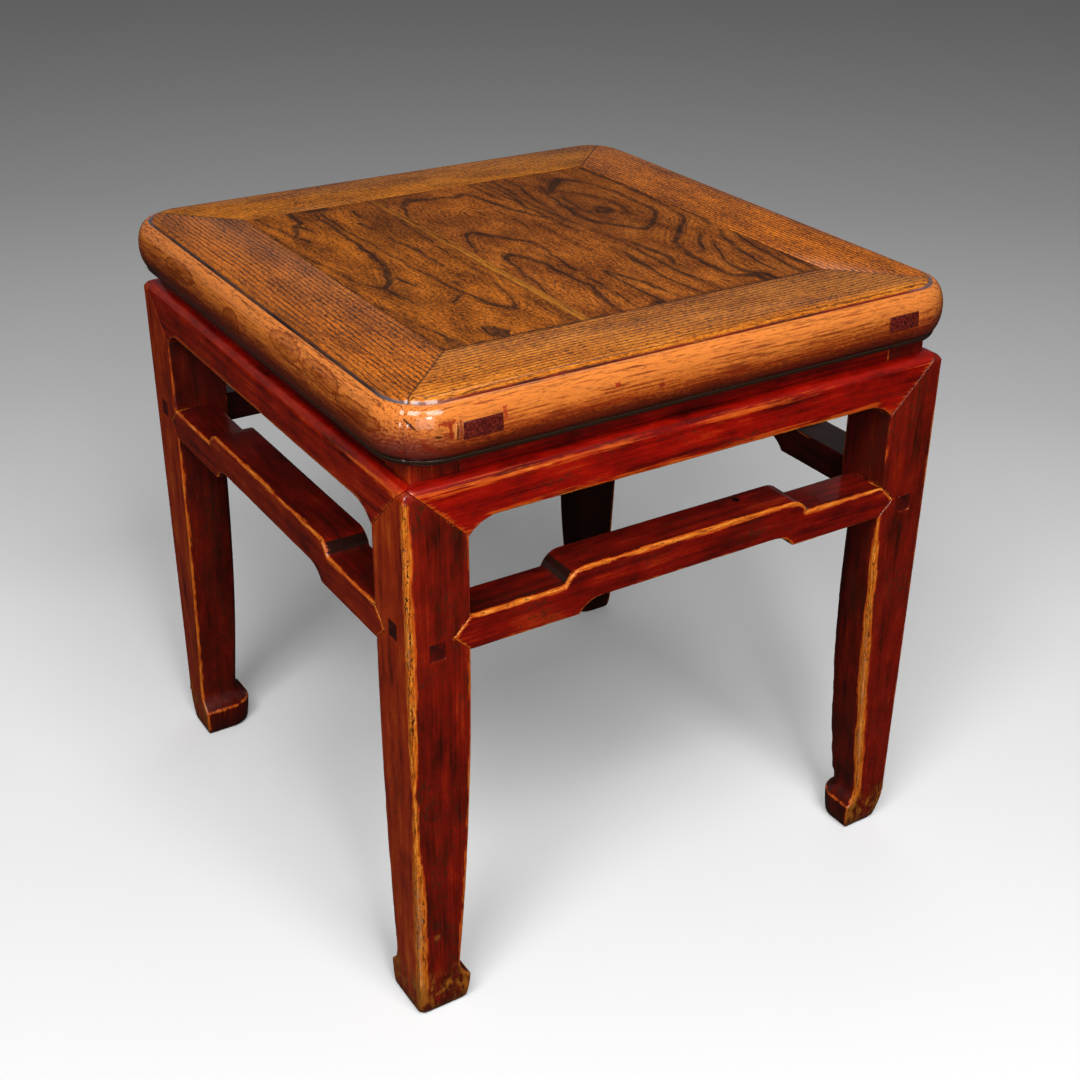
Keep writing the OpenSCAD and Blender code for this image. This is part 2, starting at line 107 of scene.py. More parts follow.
def finishMaterial(add, colour, roughness, height, relief, **sockets):
    # principled surface with a bump whose height input of 1 stands for relief in metres
    normal = add("Bump", {"Height": height, "Distance": relief, "Strength": 1.0})
    links = {"Base Color": colour, "Roughness": roughness, "Normal": normal}
    links.update({name.replace("_", " "): value for name, value in sockets.items()})
    shader = add("BsdfPrincipled", links)
    add("OutputMaterial", shader)


# turns that bring the grain onto the X axis of a pattern
alongX = (0, 0, 0)
alongY = (0, 0, -math.pi / 2)
alongZ = (0, math.pi / 2, 0)


# Elm of the top frame: ring-porous wood with straight dark pore lines, under a thin clear finish
frameElm = {
    "ringGap": 4.1,         # mm between the rows of dark pores
    "wander": 12,           # mm that the rows drift sideways along a rail
    "pore": (6.5, 0.75),    # mm, length and width of open pores filled with dirt
    "grit": (3.2, 1.5),     # mm, the fine mottle of old wood
    "relief": 0.2,          # mm, depth that the relief of pores and mottle is reckoned in
    "cornerRadius": 42,     # mm, of the top in plan
    "edgeIn": (11.5, 9.0),  # mm in from the outline, where the rounded edge's colours begin and are full
    "lipIn": (24, 13),      # mm in, where the top warms towards its edge
    "topFade": (9, 5),      # mm below the top, where its rings end
    "cornerIn": (55, 12),   # mm in along both edges, where the handled corners begin and are full
    "grooveIn": (9.9, 12.6),   # mm in from the outer edge, where the incised line runs
    "tenon": (165.5, 194.5, 16),   # mm: sides of the through tenons' ends, and how far in they are stained
    # marks on the front edge: two points on the surface, half width and raggedness (mm), colour
    "marks": [((-229.4, -232.1, 500.2), (-224.5, -238.4, 493.8), 1.0, 1.0, "#1a0d0a"),
              ((-208.4, -244.2, 496.5), (-201.6, -244.8, 496.8), 2.0, 4.0, "#86260f"),
              ((-203.7, -245.3, 494.1), (-203.2, -245.9, 486.7), 1.6, 4.0, "#7c200e"),
              ((-199.9, -245.3, 495.5), (-200.6, -246.0, 485.7), 1.0, 1.0, "#c67a40"),
              ((-198.4, -245.3, 495.5), (-199.0, -245.9, 484.3), 0.8, 1.5, "#2c100c"),
              ((-196.4, -245.3, 495.5), (-196.4, -245.9, 486.3), 1.6, 3.0, "#7c3824"),
              ((-163.3, -244.5, 497.8), (-163.6, -245.6, 493.1), 1.8, 4.0, "#96301a"),
              ((-193.0, -245.2, 481.0), (-172.0, -245.2, 480.6), 0.7, 2.0, "#6c1c0c"),
              ((-213.0, -244.5, 488.6), (-211.0, -244.7, 488.4), 1.0, 4.0, "#2c120a"),
              ((-77.6, -245.3, 494.7), (-76.0, -245.3, 494.7), 1.8, 4.0, "#8c2412"),
              ((-42.0, -246.0, 487.3), (-41.0, -246.0, 487.3), 1.8, 4.0, "#7c2010")],
    # ovals where the rings break the rounded side edge: y, z, half length and half height (mm)
    "ovals": [(14, 487, 17, 9), (-80, 499, 28, 7), (-136, 498, 30, 7), (-192, 492, 30, 7),
              (120, 494, 30, 7)],
}


def elmMottle(add, spot, cloud):
    # the fine mottle of old wood, and the same over broad clouds
    grit = grainNoise(add, spot, frameElm["grit"], 5.0, 0.7)
    clouded = add("Math", cloud, 0.4, op="MULTIPLY")
    return grit, add("Math", grit, 0.6, clouded, op="MULTIPLY_ADD")


def elmRelief(add, grit, pore, rings):
    # pores and rings lie deeper, with the mottle over all
    pits = add("Math", add("Math", pore, rings, op="ADD"), -0.5, op="MULTIPLY")
    return add("Math", grit, 0.5, pits, op="MULTIPLY_ADD")


def elmOfFrame(name, turn, light, mid, dark, pores, lineColours, marks=()):
    material, add = newMaterial(name)
    place = add("TexCoord", out="Object")
    plain = add("Mapping", {"Vector": place, "Scale": (1000, 1000, 1000)})
    spot = add("Mapping", {"Vector": place, "Rotation": turn, "Scale": (1000, 1000, 1000)})
    across = add("SeparateXYZ", spot, out="Y")
    level = add("SeparateXYZ", spot, out="Z")

    # growth rings, nearly straight on top and faint on the rounded edge
    bend = grainNoise(add, spot, (140, 60, 16), 3.0, 0.45)
    drift = add("Math", bend, frameElm["wander"], across, op="MULTIPLY_ADD")
    ringPlace = add("Math", drift, 1 / frameElm["ringGap"], op="MULTIPLY")
    ring = add("Math", ringPlace, op="FRACT")
    band = add("ValToRGB", ring,
               stops=[(0.0, 1.0), (0.1, 0.75), (0.24, 0.1), (0.6, 0.0), (0.9, 0.1), (1.0, 1.0)])
    patchy = grainNoise(add, spot, (45, 6), 5.0, 0.62)
    strength = add("MapRange", patchy, 0.34, 0.54, 0.3)
    rings = add("Math", band, strength, op="MULTIPLY")

    # open pores: short dark dashes along the grain, crowded into the rows
    onTop = add("MapRange", level, *(railHigh.z / mm - down for down in frameElm["topFade"]))
    topRings = add("Math", rings, onTop, op="MULTIPLY")
    dash = grainNoise(add, spot, frameElm["pore"], 2.0, 0.6)
    crowd = add("Math", topRings, 0.19, dash, op="MULTIPLY_ADD")
    pore = add("MapRange", crowd, 0.61 - pores, 0.66 - pores)

    # tone: broad patches and a fine mottle, then rows and pores over them, and a few grey smudges
    cloud = grainNoise(add, spot, (80, 24), 7.0, 0.68)
    grit, mottle = elmMottle(add, spot, cloud)
    wood = add("ValToRGB", mottle, stops=[(0.4, dark), (0.49, mid), (0.58, light)])
    ringed = add("MixRGB", add("Math", rings, 0.8, op="MULTIPLY"), wood, "#3c1a08")
    smudge = grainNoise(add, spot, (16, 9), 6.0, 0.75)
    smudged = add("MixRGB", add("MapRange", smudge, 0.58, 0.68, 0, 0.6), ringed, "#4a2812")
    nick = grainNoise(add, spot, (8, 4), 3.0, 0.6)
    nicked = add("Math", add("MapRange", nick, 0.71, 0.73), pore, op="MAXIMUM")
    pored = add("MixRGB", add("Math", nicked, 0.92, op="MULTIPLY"), smudged, "#221006")

    # distance in from the rounded outline of the top, in plan
    radius = frameElm["cornerRadius"]
    inner = (topHalf.x / mm - radius, topHalf.y / mm - radius, 1e4)
    mirrored = add("VectorMath", plain, op="ABSOLUTE")
    side, deep = (add("SeparateXYZ", mirrored, out=axis) for axis in ("X", "Y"))
    past = add("VectorMath", mirrored, inner, op="SUBTRACT")
    beyond = add("VectorMath", past, (0, 0, 0), op="MAXIMUM")
    reach = add("VectorMath", beyond, out="Value", op="LENGTH")
    edgeIn = add("Math", radius, reach, op="SUBTRACT")
    onEdge = add("MapRange", edgeIn, *frameElm["edgeIn"])

    # the rounded edge is handled wood: lighter and warmer, reddish dirt low down; painted shade darkens it
    # towards its bottom and makes the bead near black, with a painted highlight on the bead
    rise = add("MapRange", level, railLow.z / mm, railHigh.z / mm)
    # painted shade: the ramp follows the height, so the edge darkens where it turns down
    uneven = add("Math", add("Math", mottle, 0.5, op="SUBTRACT"), 0.9, rise, op="MULTIPLY_ADD")
    shade = add("ValToRGB", uneven,
                stops=[(0.13, "#300b05"), (0.27, "#622008"), (0.42, "#a04612"), (0.6, "#c46c2a"),
                       (0.85, "#cc7430")])
    nearEnds = [add("MapRange", way, *(half / mm - inward for inward in frameElm["cornerIn"]))
                for way, half in ((side, topHalf.x), (deep, topHalf.y))]
    cornered = add("Math", *nearEnds, op="MULTIPLY")
    handled = add("MapRange", smudge, 0.4, 0.6, 0.45, 0.95)
    lowDown = add("MapRange", rise, 0.8, 0.4)
    cornerDirt = add("Math", cornered, add("Math", handled, lowDown, op="MULTIPLY"), op="MULTIPLY")
    cornerWood = add("MixRGB", cornerDirt, shade, "#683630")
    # painted shade at the bottom of the edge and the bead, with a thin lighter band as the bead's painted
    # highlight
    foot = add("ValToRGB", rise,
               stops=[(0.0, "#0e0805"), (0.09, "#281a12"), (0.12, "#2e2018"), (0.145, "#0f0805"),
                      (0.17, "#160b06")])
    beadShadeMask = add("MapRange", rise, 0.2, 0.15)
    plainCorner = add("Math", cornered, -0.16, 0.16, op="MULTIPLY_ADD")
    ringedEdge = add("MixRGB", add("Math", rings, plainCorner, op="MULTIPLY"), cornerWood, "#7c300c")
    redDirt = add("Math", add("MapRange", patchy, 0.54, 0.62, 0, 0.7), add("MapRange", rise, 0.8, 0.45),
                  op="MULTIPLY")
    reddened = add("MixRGB", redDirt, ringedEdge, "#741808")

    # long thin scratches filled with red and dark dirt, more of them lower down; then the ovals
    scratch = grainNoise(add, spot, (38, 1.5), 5.0, 0.6)
    lower = add("MapRange", rise, 0.85, 0.35)
    scratches = add("Math", lower, 0.12, scratch, op="MULTIPLY_ADD")
    scratched = add("MapRange", scratches, 0.57, 0.65, 0, 0.75)
    marred = add("MixRGB", scratched, reddened, "#6a1c0a")
    if turn == alongY:
        for y, z, halfLength, halfHeight in frameElm["ovals"]:
            near = add("Mapping", {"Vector": plain, "Location": (0, -y / halfLength, -z / halfHeight),
                                   "Scale": (0, 1 / halfLength, 1 / halfHeight)})
            far = add("VectorMath", near, out="Value", op="LENGTH")
            rough = add("Math", grit, 0.7, far, op="MULTIPLY_ADD")
            bumpy = add("Math", bend, 0.6, rough, op="MULTIPLY_ADD")
            halved = add("Math", bumpy, 0.5, op="MULTIPLY")
            loop = add("ValToRGB", halved,
                       stops=[(0.4, 0.75), (0.52, 0.35), (0.57, 0.7), (0.63, 0.25), (0.77, 0.5),
                              (0.8, 1.0), (0.85, 0.0)])
            marred = add("MixRGB", loop, marred, "#6c2206")
    edgePore = 0.65 if turn == alongY else 0.4
    edgeWood = add("MixRGB", add("Math", pore, edgePore, op="MULTIPLY"), marred, "#2b1007")
    beadShaded = add("MixRGB", beadShadeMask, edgeWood, foot)
    lip = add("MapRange", edgeIn, *frameElm["lipIn"], 0, 0.45)
    lipped = add("MixRGB", lip, pored, "#7c4214")
    surface = add("MixRGB", onEdge, lipped, beadShaded)

    # the incised line holds dirt, and red lacquer along the front; towards the corners it is painted grey
    # as a painted highlight
    grooveNear, grooveFar = frameElm["grooveIn"]
    nearSide = add("MapRange", edgeIn, grooveNear - 0.5, grooveNear + 0.3)
    farSide = add("MapRange", edgeIn, grooveFar + 0.6, grooveFar - 0.3)
    line = add("Math", nearSide, farSide, op="MULTIPLY")
    lineFade = add("MapRange", patchy, 0.3, 0.45, 0.45)
    dirtColour = add("ValToRGB", cloud, stops=[(0.42, lineColours[0]), (0.56, lineColours[1])])
    lineColour = add("MixRGB", cornered, dirtColour, "#6c6870")
    grooveDirtAndHighlight = add("MixRGB", add("Math", line, lineFade, op="MULTIPLY"), surface, lineColour)

    # dirt in the mitres
    skew = add("Math", add("Math", side, (topHalf.x - topHalf.y) / mm, op="SUBTRACT"), deep,
               op="SUBTRACT")
    offMitre = add("Math", skew, op="ABSOLUTE")
    seamDirt = add("Math", add("MapRange", offMitre, 1.5, 0.5),
                   add("Math", onEdge, -0.6, 0.65, op="MULTIPLY_ADD"), op="MULTIPLY")
    lined = add("MixRGB", seamDirt, grooveDirtAndHighlight, "#241008")

    # end grain of the through tenons is stained dark maroon
    low, high, stain = frameElm["tenon"]
    inLow = add("Math", side, low, op="GREATER_THAN")
    inHigh = add("Math", side, high, op="LESS_THAN")
    outward = add("Math", deep, topHalf.y / mm - stain, op="GREATER_THAN")
    ofTenon = add("Math", add("Math", inLow, inHigh, op="MULTIPLY"), outward, op="MULTIPLY")
    speck = add("TexNoise", {"Vector": plain, "Scale": 0.55, "Detail": 4.0, "Roughness": 0.7})
    endGrain = add("ValToRGB", speck, stops=[(0.35, "#2b0a08"), (0.5, "#4f1511"), (0.68, "#7a2c1c")])
    isSide = 1.0 if turn == alongY else 0.0
    ended = add("MixRGB", add("Math", ofTenon, isSide, op="MULTIPLY"), lined, endGrain)
    for start, end, halfWidth, raggedness, colour in marks:
        # a spindle-shaped mark between two points on the surface
        start, end = Vector(start), Vector(end)
        slant = (end - start).to_track_quat("X", "Z").to_euler()
        halfLength = (end - start).length / 2 + halfWidth
        near = add("Mapping", {"Vector": plain, "Location": (start + end) / 2, "Rotation": slant,
                               "Scale": (halfLength, halfWidth, halfWidth)}, vector_type="TEXTURE")
        far = add("VectorMath", near, out="Value", op="LENGTH")
        torn = add("Math", add("Math", grit, 0.5, op="SUBTRACT"), raggedness, far, op="MULTIPLY_ADD")
        marked = add("MapRange", torn, 1.05, 0.8, 0, 0.88)
        ended = add("MixRGB", marked, ended, colour)

    sheen = add("MapRange", patchy, 0.3, 0.7, 0.5, 0.65)
    polished = add("Math", onEdge, -0.3, sheen, op="MULTIPLY_ADD")
    finishMaterial(add, ended, polished, elmRelief(add, grit, pore, rings), frameElm["relief"] * mm,
                   Specular_IOR_Level=0.05, Coat_Weight=0.8, Coat_Roughness=0.13)
    return material


# Lacquered base: dark red lacquer, thin and worn through to the elm on every arris, then waxed
lacquer = {
    "streak": (90, 6.0),    # mm, length and width of the brush streaks
    "grain": (50, 1.3),     # mm, the grain of the wood under the lacquer
    "fleck": (4.0, 1.6),    # mm, length and width of the dirty flecks
    "wander": 1.5,          # mm that the border of the worn wood wanders
    "foot": (46, 26),       # mm above the floor, where the scuffed part of a hoof begins and is full
    "tip": (13, 3),         # the same for its dark tip
    "relief": 0.16,         # mm, depth that the relief is reckoned in
    # small marks: place and radius in mm, colour
    "marks": [((60.6, -210.3, 357.8), 3.2, "#0c0604"), ((-219.6, -237.5, 76.2), 2.6, "#7a3c14")],
}


def wornLacquer(name, turn, reds, leftLight, flecks, halo):
    material, add = newMaterial(name)
    place = add("TexCoord", out="Object")
    spot = add("Mapping", {"Vector": place, "Rotation": turn, "Scale": (1000, 1000, 1000)})
    level = add("SeparateXYZ", place, out="Z")
    facing = add("SeparateXYZ", add("TexCoord", out="Normal"), out="X")
    worn = add("Attribute", out="Fac", attribute_name="worn")
    grime = add("Attribute", out="Fac", attribute_name="grime")

    # lacquer: fine grain, faint brush streaks and clouds; the left side's faces that turn to the left are
    # painted a lighter orange, as painted light
    streak = grainNoise(add, spot, lacquer["streak"], 4.0, 0.55)
    grain = grainNoise(add, spot, lacquer["grain"], 4.0, 0.65)
    cloud = grainNoise(add, spot, (55, 26), 7.0, 0.7)
    layers = add("Math", grain, 0.22, add("Math", cloud, 0.48, op="MULTIPLY"), op="MULTIPLY_ADD")
    tone = add("Math", streak, 0.3, layers, op="MULTIPLY_ADD")
    red = add("ValToRGB", tone, stops=list(zip((0.38, 0.45, 0.51, 0.57, 0.64), reds)))
    litOrange = add("ValToRGB", tone,
               stops=[(0.38, "#561404"), (0.46, "#982806"), (0.54, "#b23a08"), (0.63, "#cf661c")])
    turned = add("MapRange", facing, -0.3, -0.9, 0, leftLight)
    leftSide = add("MapRange", add("SeparateXYZ", place, out="X"), 0.02, -0.02)
    litLeftFace = add("Math", turned, leftSide, op="MULTIPLY")
    coloured = add("MixRGB", litLeftFace, red, litOrange)

    # dirty flecks, crisp and crowded in clouds, fewer on the left faces painted as lit
    fleck = grainNoise(add, spot, lacquer["fleck"], 7.0, 0.72)
    zone = grainNoise(add, spot, (70, 22), 5.0, 0.6, shift=(3, 7, 5))
    crowd = add("Math", zone, 0.6, fleck, op="MULTIPLY_ADD")
    cleaner = add("Math", litLeftFace, -0.06, crowd, op="MULTIPLY_ADD")
    dirt = add("MapRange", cleaner, 0.86 - flecks, 0.94 - flecks, 0, 0.75)
    dirty = add("MixRGB", dirt, coloured, "#301c0b")
    # dark where this is high: old dirt, and painted shade on inward faces, undersides and inside the
    # aprons
    grimeAndShadeSharp = add("MapRange", grime, 0.72, 0.84, 0, 0.95)
    grimeAndShadeSoft = add("Math", grime, 0.85, op="MULTIPLY")
    grimedAndShaded = add("MixRGB", add("Math", grimeAndShadeSoft, grimeAndShadeSharp, op="MAXIMUM"), dirty, "#1a0d09")

    # worn wood where the distance to an arris is less than the band, its border wandering
    border = grainNoise(add, spot, (20, 5), 6.0, 0.7)
    wander = add("MapRange", border, 0.3, 0.7, -lacquer["wander"], lacquer["wander"])
    band = add("Math", worn, wander, op="ADD")
    bare = add("MapRange", band, -0.2, 1.0)
    near = add("MapRange", band, -halo, -0.2, 0, 0.34)
    combed = add("Math", grain, near, op="ADD")
    rubbed = add("MapRange", combed, 0.68, 0.84, 0, 0.9)

    fibre = grainNoise(add, spot, (16, 1.2), 5.0, 0.68)
    gold = add("ValToRGB", fibre,
               stops=[(0.34, "#6a2a06"), (0.45, "#b25612"), (0.56, "#cf741c"), (0.68, "#e29a48")])
    crack = grainNoise(add, spot, (4, 1.5), 4.0, 0.7)
    cracked = add("Math", zone, 0.3, crack, op="MULTIPLY_ADD")
    deep = add("MapRange", band, 0.6, 2.2)
    split = add("Math", add("MapRange", cracked, 0.7, 0.75), deep, op="MULTIPLY")
    pitted = add("MixRGB", split, gold, "#140a04")
    # painted highlight: pale pinkish specks along the middle of the widest bare bands
    arrisHighlight = add("Math", add("MapRange", band, 3.2, 4.6), add("MapRange", crack, 0.45, 0.6, 0, 0.6),
                op="MULTIPLY")
    arrisHighlighted = add("MixRGB", arrisHighlight, pitted, "#c8966e")
    edged = add("MixRGB", rubbed, grimedAndShaded, "#b84a12")
    surface = add("MixRGB", bare, edged, arrisHighlighted)

    # hooves are scuffed to golden brown, their tips dark
    low = add("MapRange", level, *(height * mm for height in lacquer["foot"]))
    blotch = grainNoise(add, spot, (12, 6), 6.0, 0.7)
    nearArris = add("MapRange", worn, -9.0, 1.0, -0.08, 0.1)
    scuffPlace = add("Math", blotch, nearArris, op="ADD")
    scuffNoise = add("MapRange", scuffPlace, 0.4, 0.56, 0, 0.95)
    clean = add("MapRange", grime, 0.3, 0.6, 1.0, 0.0)
    scuffHere = add("Math", low, clean, op="MULTIPLY")
    scuff = add("Math", scuffHere, scuffNoise, op="MULTIPLY")
    scuffColour = add("ValToRGB", add("Math", scuffPlace, fibre, op="ADD"),
                      stops=[(0.82, "#32120a"), (0.94, "#5a260c"), (1.0, "#9c5a18")])
    scuffed = add("MixRGB", scuff, surface, scuffColour)
    tip = add("MapRange", level, *(height * mm for height in lacquer["tip"]), 0, 0.75)
    tipped = add("MixRGB", tip, scuffed, "#2e1410")
    for (x, y, z), radius, colour in lacquer["marks"]:
        near = add("VectorMath", place, (x * mm, y * mm, z * mm), out="Value", op="DISTANCE")
        ragged = add("Math", crack, -2.4 * mm, near, op="MULTIPLY_ADD")
        spotted = add("MapRange", ragged, (radius - 0.7) * mm, (radius - 1.6) * mm)
        tipped = add("MixRGB", spotted, tipped, colour)

    sheen = add("MapRange", zone, 0.3, 0.7, 0.22, 0.36)
    dull = add("Math", bare, 0.1, sheen, op="MULTIPLY_ADD")
    flow = add("Math", fleck, 0.5, add("Math", grain, 0.3, op="MULTIPLY"), op="MULTIPLY_ADD")
    chipped = add("Math", bare, -1.0, flow, op="MULTIPLY_ADD")
    height = add("Math", split, -2.0, chipped, op="MULTIPLY_ADD")
    finishMaterial(add, tipped, dull, height, lacquer["relief"] * mm, Specular_IOR_Level=0.2,
                   Coat_Weight=0.55, Coat_Roughness=0.1)
    return material


# Elm of the panel: plain-sawn boards, darker than the frame. Their dark growth lines are laid out
# as arches and eyes through points of x, y and width in mm
panel = {
    "mesh": 1.5,            # mm, grid of the boards' upper face
    "soft": 0.5,            # mm, easing of their arrises
    "bend": 2.2,            # mm that the dark lines waver
    "followGap": 4.6,       # mm between the faint lines that follow the dark ones
    "strip": (4.5, 4.6, 2.6),   # mm, sapwood beside the seam: its middle, where it ends and is full
    "narrow": [
        [(-166, 168, 1.2), (-165, 100, 3), (-164, 60, 3.4), (-159, 30, 1.8), (-156, 0, 1.8),
         (-153, -22, 2.4), (-147, -33, 3.4), (-142, -38, 4), (-135, -31, 5), (-128, -15, 7), (-122, 0, 6),
         (-118, 20, 5), (-116, 45, 5), (-114, 75, 4), (-112, 110, 3), (-111, 150, 3)],
        [(-143, -38, 3), (-141, -60, 3), (-138, -82, 1)],
        [(-125, -22, 4), (-121, -45, 1.5)],
        [(-158, 168, 2.2), (-155, 145, 3), (-152, 120, 2.4), (-149, 105, 3), (-144, 88, 5)],
        [(-149, 104, 2), (-143, 118, 4), (-136, 132, 6), (-130, 136, 4), (-127, 168, 3.4)],
        [(-134, 128, 5), (-131, 110, 1.2)],
        [(-105, 152, 4), (-106, 120, 2.4), (-107, 100, 2), (-105, 60, 2.4), (-103, 25, 2), (-103, 0, 2),
         (-102, -20, 2.4), (-100, -50, 2.4), (-96, -80, 3.4), (-92, -105, 4), (-87, -118, 5),
         (-83, -122, 5), (-77, -112, 2.4), (-72, -100, 2), (-68, -75, 2), (-65, -50, 1.6),
         (-63, -10, 1.6), (-62, 30, 1.6), (-60, 60, 1.5), (-57, 100, 1.5), (-56, 140, 1.2)],
        [(-113, -89, 3), (-102, -78, 4.5)],
        [(-88, 112, 4.5), (-85, 90, 2), (-86, 75, 2), (-82, 40, 3), (-80, 0, 3), (-82, -16, 1.2)],
        [(-79, 145, 2.5), (-79, 122, 1.2)],
        [(-92, -52, 4), (-91, -68, 2.5)],
        [(-81, -38, 2), (-79, -46, 1)],
        [(-163, -62, 1.4), (-161, -90, 1.6), (-156, -120, 1.8), (-153, -140, 2.6), (-149, -168, 3)],
        [(-155, -150, 3), (-154, -168, 7)],
        [(-168, -8, 1.2), (-165, -36, 2), (-164, -52, 1)],
        [(-168, -98, 1.2), (-165, -125, 1.8), (-163, -168, 2)],
        [(-119, -144, 7), (-118, -156, 15), (-116, -168, 26)],
        [(-62, -100, 1.4), (-63, -130, 1.4), (-66, -168, 1.2)],
        [(-108, 164, 9), (-97, 163, 8)],
        [(-54, 168, 1.2), (-53.5, 60, 1), (-54, -40, 1.2), (-53, -168, 1)],
        [(-166.5, 167, 1.4), (-166.5, -167, 2.4), (-50, -167, 2.6)],
    ],
    "wide": [
        [(-48.5, 168, 1.6), (-48.5, 60, 1.2), (-48, -20, 1), (-48, -90, 1.2), (-47.5, -168, 1.4)],
        [(-46, 98, 1.4), (-43, 118, 2), (-38, 130, 4), (-32, 142, 6), (-24, 149, 9), (-14, 147, 8),
         (-7, 141, 4), (0, 145, 3), (8, 142, 5), (14, 137, 5), (20, 140, 6), (26, 144, 5), (30, 135, 5),
         (33, 120, 4), (36, 100, 4), (40, 80, 4), (46, 65, 3.4), (50, 55, 3), (54, 40, 2)],
        [(-46, -18, 1.2), (-43, 0, 1.6), (-40, 12, 2), (-36, 25, 2.4), (-31, 38, 3), (-26, 45, 5),
         (-21, 44, 6), (-16, 36, 7), (-10, 27, 7), (-4, 17, 5), (1, 10, 4), (5, 3, 3), (7, -5, 2),
         (8, -15, 2), (7, -25, 2), (5, -40, 2), (3, -55, 3), (1, -70, 3.4), (2, -85, 1.4), (0, -105, 2),
         (-2, -125, 2), (-4, -150, 2), (-5, -168, 2)],
        [(-46, -118, 1.4), (-44, -100, 2), (-40, -80, 2.4), (-37, -60, 3), (-35, -45, 3), (-32, -30, 4),
         (-28, -20, 6), (-23, -17, 6), (-19, -25, 6), (-15, -38, 6), (-12, -50, 5), (-12, -65, 5.5),
         (-12, -80, 3.4), (-10, -95, 3), (-9, -110, 4), (-12, -125, 5), (-17, -140, 4), (-19, -155, 4),
         (-22, -168, 5)],
        [(-1, -12, 1), (-2, -42, 1)],
        [(17, -90, 4), (17, -105, 3.4), (17, -130, 3), (17, -168, 3)],
        [(18, -89, 5), (22, -98, 5), (27, -112, 3.4), (30, -130, 3), (33, -148, 3), (37, -168, 2.4)],
        [(11, -166, 8), (19, -162, 4)],
        [(57, -56, 2.5), (55, -75, 5), (53, -90, 5), (51, -102, 3), (50, -120, 2.4), (52, -140, 3),
         (53, -168, 2.4)],
        [(56, -42, 1), (58, -95, 1)],
        [(43, 168, 3), (45, 130, 2.4), (47, 108, 1.6)],
        [(52, 168, 2), (54, 130, 2), (55, 100, 3), (54, 75, 3), (54, 40, 1.6), (56, 5, 1.4)],
        [(59, 168, 1.4), (60, 120, 3), (57, 98, 2.6)],
        [(68, 168, 2), (66, 130, 3), (62, 110, 2), (62, 75, 1.4), (63, 55, 3), (64, 30, 2), (66, 10, 1.4),
         (68, -5, 1.4), (70, -20, 1.4), (71, -40, 2), (70, -60, 2), (68, -75, 2), (69, -100, 3),
         (66, -120, 4), (69, -140, 2.4), (71, -168, 2.4)],
        [(82, 168, 2), (79, 140, 2.4), (76, 120, 2.4), (72, 100, 2.4), (70, 80, 2), (68, 58, 1.4)],
        [(73, -28, 1), (76, -40, 1.6), (77, -55, 2), (80, -70, 5), (80, -85, 4), (76, -100, 2),
         (75, -122, 1)],
        [(97, 130, 2), (92, 115, 3), (88, 100, 3), (85, 80, 3.4), (82, 60, 5), (78, 45, 5), (79, 30, 4),
         (83, 15, 4), (90, 5, 4), (97, -5, 4), (102, -14, 5), (107, -18, 5), (113, -14, 5), (121, -8, 5),
         (127, 0, 4.5), (134, 8, 4), (140, 15, 3), (143, 25, 4), (145, 45, 2.4), (145, 70, 2.4),
         (144, 90, 2), (141, 110, 2.4), (136, 125, 3), (130, 135, 6), (124, 142, 7), (115, 133, 8),
         (107, 125, 7), (99, 116, 7), (92, 108, 3)],
        [(107, 52, 3), (111, 44, 6), (108, 36, 6), (101, 41, 4), (103, 49, 2)],
        [(104, 108, 1.6), (118, 90, 2), (125, 70, 1.6), (126, 45, 1.4), (120, 22, 1.4)],
        [(96, 92, 2), (92, 70, 3), (91, 52, 2.5), (93, 32, 1.6), (100, 14, 1.4)],
        [(160, 160, 5), (162, 130, 4), (163, 105, 3.4), (163, 80, 5), (163, 60, 4), (160, 40, 2),
         (158, 20, 2.4), (155, 0, 2.4), (151, -10, 3), (145, -18, 4), (138, -24, 4), (131, -32, 5),
         (123, -41, 6), (115, -50, 5), (107, -57, 4), (104, -66, 2), (101, -80, 4), (97, -90, 5),
         (96, -105, 3), (95, -120, 4.4), (95, -135, 4), (98, -145, 4), (104, -150, 5), (112, -152, 8),
         (113, -168, 3)],
        [(167, 0, 3), (163, -25, 3), (160, -36, 1.4)],
        [(167, -52, 2), (162, -70, 3.4), (157, -95, 3), (153, -115, 3.4), (150, -135, 3), (147, -168, 3)],
        [(158, -50, 2), (150, -65, 4), (143, -85, 4.4), (139, -105, 4), (135, -125, 3), (133, -150, 2.4),
         (132, -168, 2)],
        [(137, -50, 3), (130, -60, 4), (123, -70, 4), (115, -84, 2), (108, -89, 1.4)],
        [(135, -70, 1.6), (127, -85, 3), (120, -100, 2.4), (113, -115, 4), (110, -130, 4), (113, -145, 5),
         (119, -155, 5), (122, -168, 4)],
        [(167, -90, 2), (165, -115, 3), (162, -135, 4), (161, -168, 3)],
        [(143, -110, 1.2), (140, -135, 1.4), (139, -168, 1.4)],
        [(38, 30, 0.9), (36, -5, 1.1), (37, -40, 0.9)],
        [(28, 60, 1.4), (24, 30, 1.1), (26, 0, 0.9)],
        [(10, 90, 1.6), (14, 70, 1.4), (17, 48, 1.2)],
        [(-50, -167, 2.6), (166.5, -167, 2.6), (166.5, 167, 1.4)],
    ],
    # darker patches: x, y, half width, half length (mm) and depth
    "shade": [(-68, 110, 16, 60, 0.6), (-22, 168, 40, 20, 0.7), (110, 60, 40, 95, 0.5),
              (112, 140, 18, 22, 0.5), (-105, 165, 14, 12, 0.7), (-25, 70, 16, 50, 0.35),
              (66, 60, 12, 120, 0.3), (-138, -50, 16, 40, 0.3)],
}


